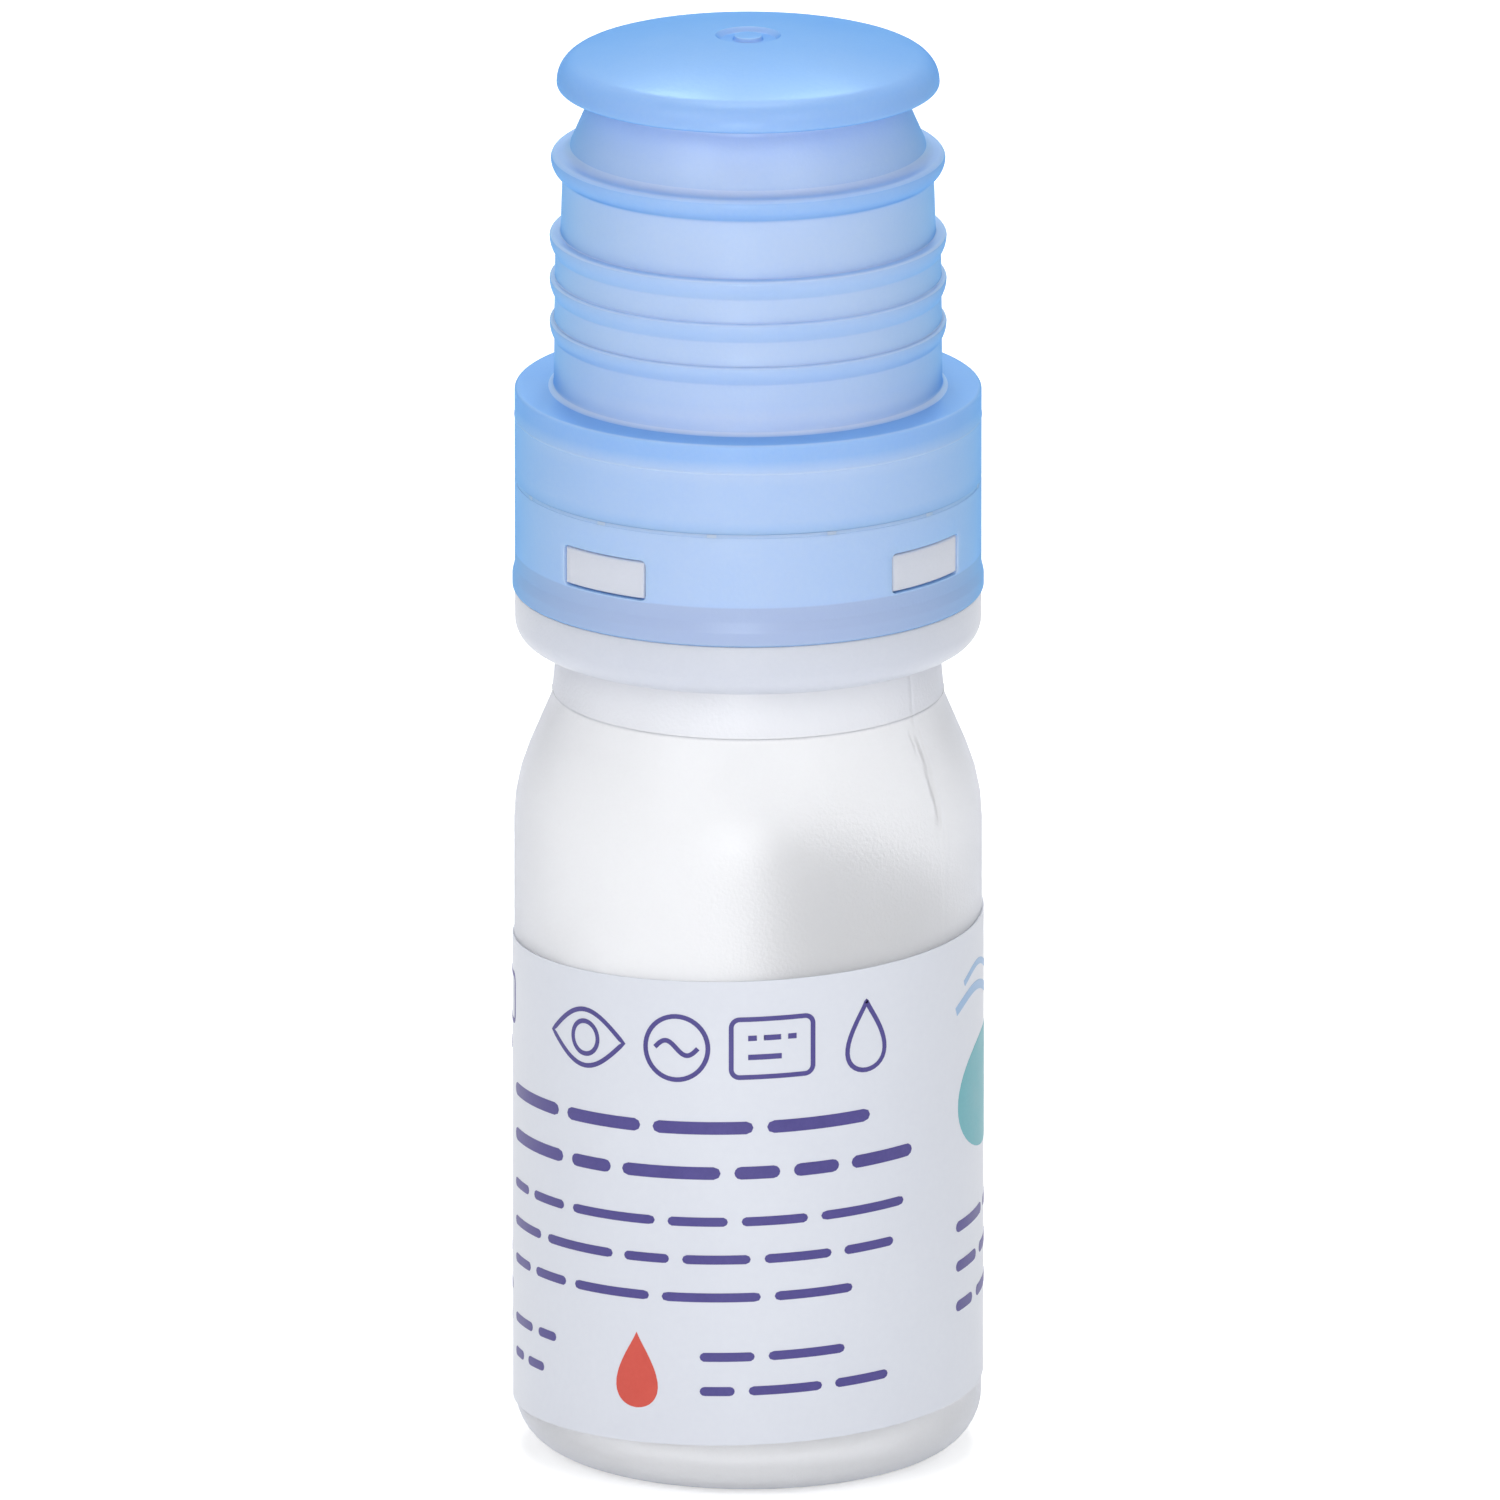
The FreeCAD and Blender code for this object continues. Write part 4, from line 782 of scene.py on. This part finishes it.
inside = rounded([(0, 76.43), (7.35, 75.65, 0.5), (7.35, 74.93, 0.3), (8.5, 71.33, 0.6), (9.01, 69.98, 0.6),
                  (9.36, 57.5, 0.3), (11.55, 57.5, 0.4), (11.55, 53.6)])
cap = new_piece("pull_cap", turned_form(divided(outside + inside, 0.7)), band_finish)
note_dye_and_light(cap, CAP_DYE_AND_LIGHT)
# Painted highlight: the upper faces of the rings and of the bead, and the fillet at the sleeve's foot, take a
# paler copy of the blue finish so that they read as lit.
cap.data.materials.append(blue_plastic("blue_cap_ledges", (0.85, 0.945, 1, 1)))
for face in cap.data.polygons:
    if (CAP_SHOULDER + 0.01) * MM < face.center.z < LEDGES_END * MM and face.normal.z > 0.4:
        face.material_index = 1
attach(cap, "cap")
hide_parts("cap")

# Nozzle and valve: a white cone that forms the drop, pressed into the socket of the base. In it a sprung pin
# closes the outlet from inside, guided by a cup; a fine bore and a membrane let liquid out and air in.
NOZZLE_OUTLINE = [
    (3.75, 54.3), (4.9, 54.3, 0.1), (4.9, 56.4), (5.9, 56.4, 0.1), (5.9, 57.2, 0.25), (4.5, 57.2, 0.3),
    (4.5, 60.6, 2), (2.4, 69.1, 0.3), (2.3, 70.4, 1.0), (1.0, 70.4, 0.2), (0.3, 69.9), (0.3, 69.2),
    (1.7, 67.6), (3.75, 60.6, 1),
]
nozzle_finish, tree, shader = new_finish("white_nozzle_plastic", IOR=1.5, Subsurface_Weight=0.5,
                                         Subsurface_Radius=(1, 1, 1), Subsurface_Scale=0.0012)
tone = put_skin(tree, shader, 260, 4200, 0.28, 0.38, 0.05)
tree.links.new(mixed(tree, tone, colour(238, 240, 244), colour(246, 247, 250)), shader.inputs["Base Color"])
nozzle = new_piece("drop_nozzle", turned_form(divided(rounded(NOZZLE_OUTLINE), 0.8)), nozzle_finish)
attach(nozzle, "bottle")
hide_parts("nozzle")

valve_finish, tree, shader = new_finish("natural_valve_plastic", IOR=1.5, Subsurface_Weight=0.6,
                                        Subsurface_Radius=(1, 0.95, 0.85), Subsurface_Scale=0.001)
tone = put_skin(tree, shader, 500, 6000, 0.38, 0.5, 0.06)
tree.links.new(mixed(tree, tone, colour(226, 227, 222), colour(236, 237, 233)), shader.inputs["Base Color"])
for node in ("valve_cup", "valve_pin", "flow_restrictor"):
    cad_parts[node].data.materials[0] = valve_finish

spring_finish, tree, shader = new_finish("drawn_steel_wire", Metallic=1, IOR=2.5)
drawn = place(tree, "ShaderNodeMapping", {"Vector": place(tree, "ShaderNodeTexCoord").outputs["Object"],
                                          "Scale": (1, 1, 6)}).outputs[0]
lines = place(tree, "ShaderNodeTexNoise", {"Vector": drawn, "Scale": 3000, "Detail": 4}).outputs["Fac"]
tree.links.new(mixed(tree, lines, colour(176, 177, 180), colour(206, 207, 210)), shader.inputs["Base Color"])
tree.links.new(place(tree, "ShaderNodeMapRange", {"Value": lines, "To Min": 0.28, "To Max": 0.42}).outputs[0],
               shader.inputs["Roughness"])
SPRING_FLOOR = 55.2
SPRING_SPACE = 3.7
SPRING_RADIUS = 2.45
SPRING_WIRE = 0.4
SPRING_TURNS = 4
SPRING_CLIMB = 3.24
COIL_STEPS = 32
WIRE_SIDES = 10
form = bmesh.new()
rows = []
for number in range(SPRING_TURNS * COIL_STEPS + 1):
    turn = math.tau * number / COIL_STEPS
    height = SPRING_FLOOR + SPRING_SPACE / 2 + SPRING_CLIMB * (number / (SPRING_TURNS * COIL_STEPS) - 0.5)
    row = []
    for side in range(WIRE_SIDES):
        lean = math.tau * side / WIRE_SIDES
        radius = (SPRING_RADIUS + SPRING_WIRE / 2 * math.cos(lean)) * MM
        row.append(form.verts.new((radius * math.cos(turn), radius * math.sin(turn),
                                   (height + SPRING_WIRE / 2 * math.sin(lean)) * MM)))
    rows.append(row)
strip(form, rows, closed=False)
bmesh.ops.recalc_face_normals(form, faces=form.faces[:])
spring = new_piece("coil_spring", form, spring_finish)
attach(spring, "bottle")
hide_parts("valve_spring")
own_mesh(spring)

filter_finish, tree, shader = new_finish("porous_membrane", IOR=1.4, Specular_IOR_Level=0.2)
tone = put_skin(tree, shader, 1500, 9000, 0.8, 0.95, 0.4)
tree.links.new(mixed(tree, tone, colour(228, 228, 222), colour(242, 242, 238)), shader.inputs["Base Color"])
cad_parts["vent_filter"].data.materials[0] = filter_finish

# Table and light: a plain pale table, large soft lamps at the front, at both sides and above, two small
# ones behind for the cap's rim, and a camera far off with a long lens that looks down a little.
TABLE_GLOW = 0.45
TABLE_DROP = 0.00002
ROOM_LIGHT = 0.36
LOOK_AT = Vector((0.0001, 0, 0.03818))


def seen_directly(tree):
    """One for rays that show a thing straight on, mirrored or through clear plastic; otherwise none."""
    ray = place(tree, "ShaderNodeLightPath").outputs
    seen = place(tree, "ShaderNodeMath", {0: ray["Is Camera Ray"], 1: ray["Is Glossy Ray"]},
                 operation="MAXIMUM")
    return place(tree, "ShaderNodeMath", {0: seen.outputs[0], 1: ray["Is Transmission Ray"]},
                 operation="MAXIMUM").outputs[0]


table_finish, tree, shader = new_finish("pale_table", Roughness=0.9, Specular_IOR_Level=0.1)
speck = place(tree, "ShaderNodeTexNoise",
              {"Vector": place(tree, "ShaderNodeTexCoord").outputs["Object"], "Scale": 60})
tree.links.new(mixed(tree, speck.outputs["Fac"], colour(250, 250, 250), colour(253, 253, 253)),
               shader.inputs["Base Color"])
lift = place(tree, "ShaderNodeMath", {0: seen_directly(tree), 1: TABLE_GLOW}, operation="MULTIPLY")
shader.inputs["Emission Color"].default_value = (1, 1, 1, 1)
tree.links.new(lift.outputs[0], shader.inputs["Emission Strength"])
form = bmesh.new()
bmesh.ops.create_grid(form, x_segments=4, y_segments=4, size=4)
table = new_piece("table", form, table_finish)
table.location.z = -TABLE_DROP

world = bpy.data.worlds.new("studio")
bpy.context.scene.world = world
world.use_nodes = True
tree = world.node_tree
background = tree.nodes["Background"]
background.inputs["Color"].default_value = (1, 1, 1, 1)
level = place(tree, "ShaderNodeMapRange", {"Value": seen_directly(tree), "To Min": ROOM_LIGHT, "To Max": 1})
tree.links.new(level.outputs["Result"], background.inputs["Strength"])

for name, spot, size, power in (("left", (-0.5, -0.65, 0.6), 0.4, 1.2),
                                ("right", (0.45, -0.7, 0.6), 0.4, 1.1),
                                ("front", (-0.1, -1.2, 0.1), 0.36, 4.4),
                                ("above", (0, 0.15, 1.2), 0.6, 3.8),
                                ("back_left", (-0.13, 0.66, 0.78), 0.12, 1.2),
                                ("back_right", (0.125, 0.66, 0.78), 0.12, 1.2)):
    lamp = bpy.data.lights.new(name, "AREA")
    lamp.size = size
    lamp.energy = power
    holder = bpy.data.objects.new(name, lamp)
    holder.location = spot
    holder.rotation_euler = (LOOK_AT - Vector(spot)).to_track_quat("-Z", "Y").to_euler()
    bpy.context.scene.collection.objects.link(holder)

CAMERA_DISTANCE = 3.0
CAMERA_RISE = math.radians(15.6)
FRAME_WIDTH = 0.0801
SENSOR_WIDTH = 36
camera = bpy.data.cameras.new("camera")
camera.sensor_width = SENSOR_WIDTH
camera.lens = SENSOR_WIDTH * CAMERA_DISTANCE / FRAME_WIDTH
camera.clip_start = 0.02
viewer = bpy.data.objects.new("camera", camera)
viewer.location = LOOK_AT + CAMERA_DISTANCE * Vector((0, -math.cos(CAMERA_RISE), math.sin(CAMERA_RISE)))
viewer.rotation_euler = (math.pi / 2 - CAMERA_RISE, 0, 0)
bpy.context.scene.collection.objects.link(viewer)
bpy.context.scene.camera = viewer
bpy.context.scene.view_settings.view_transform = "Standard"
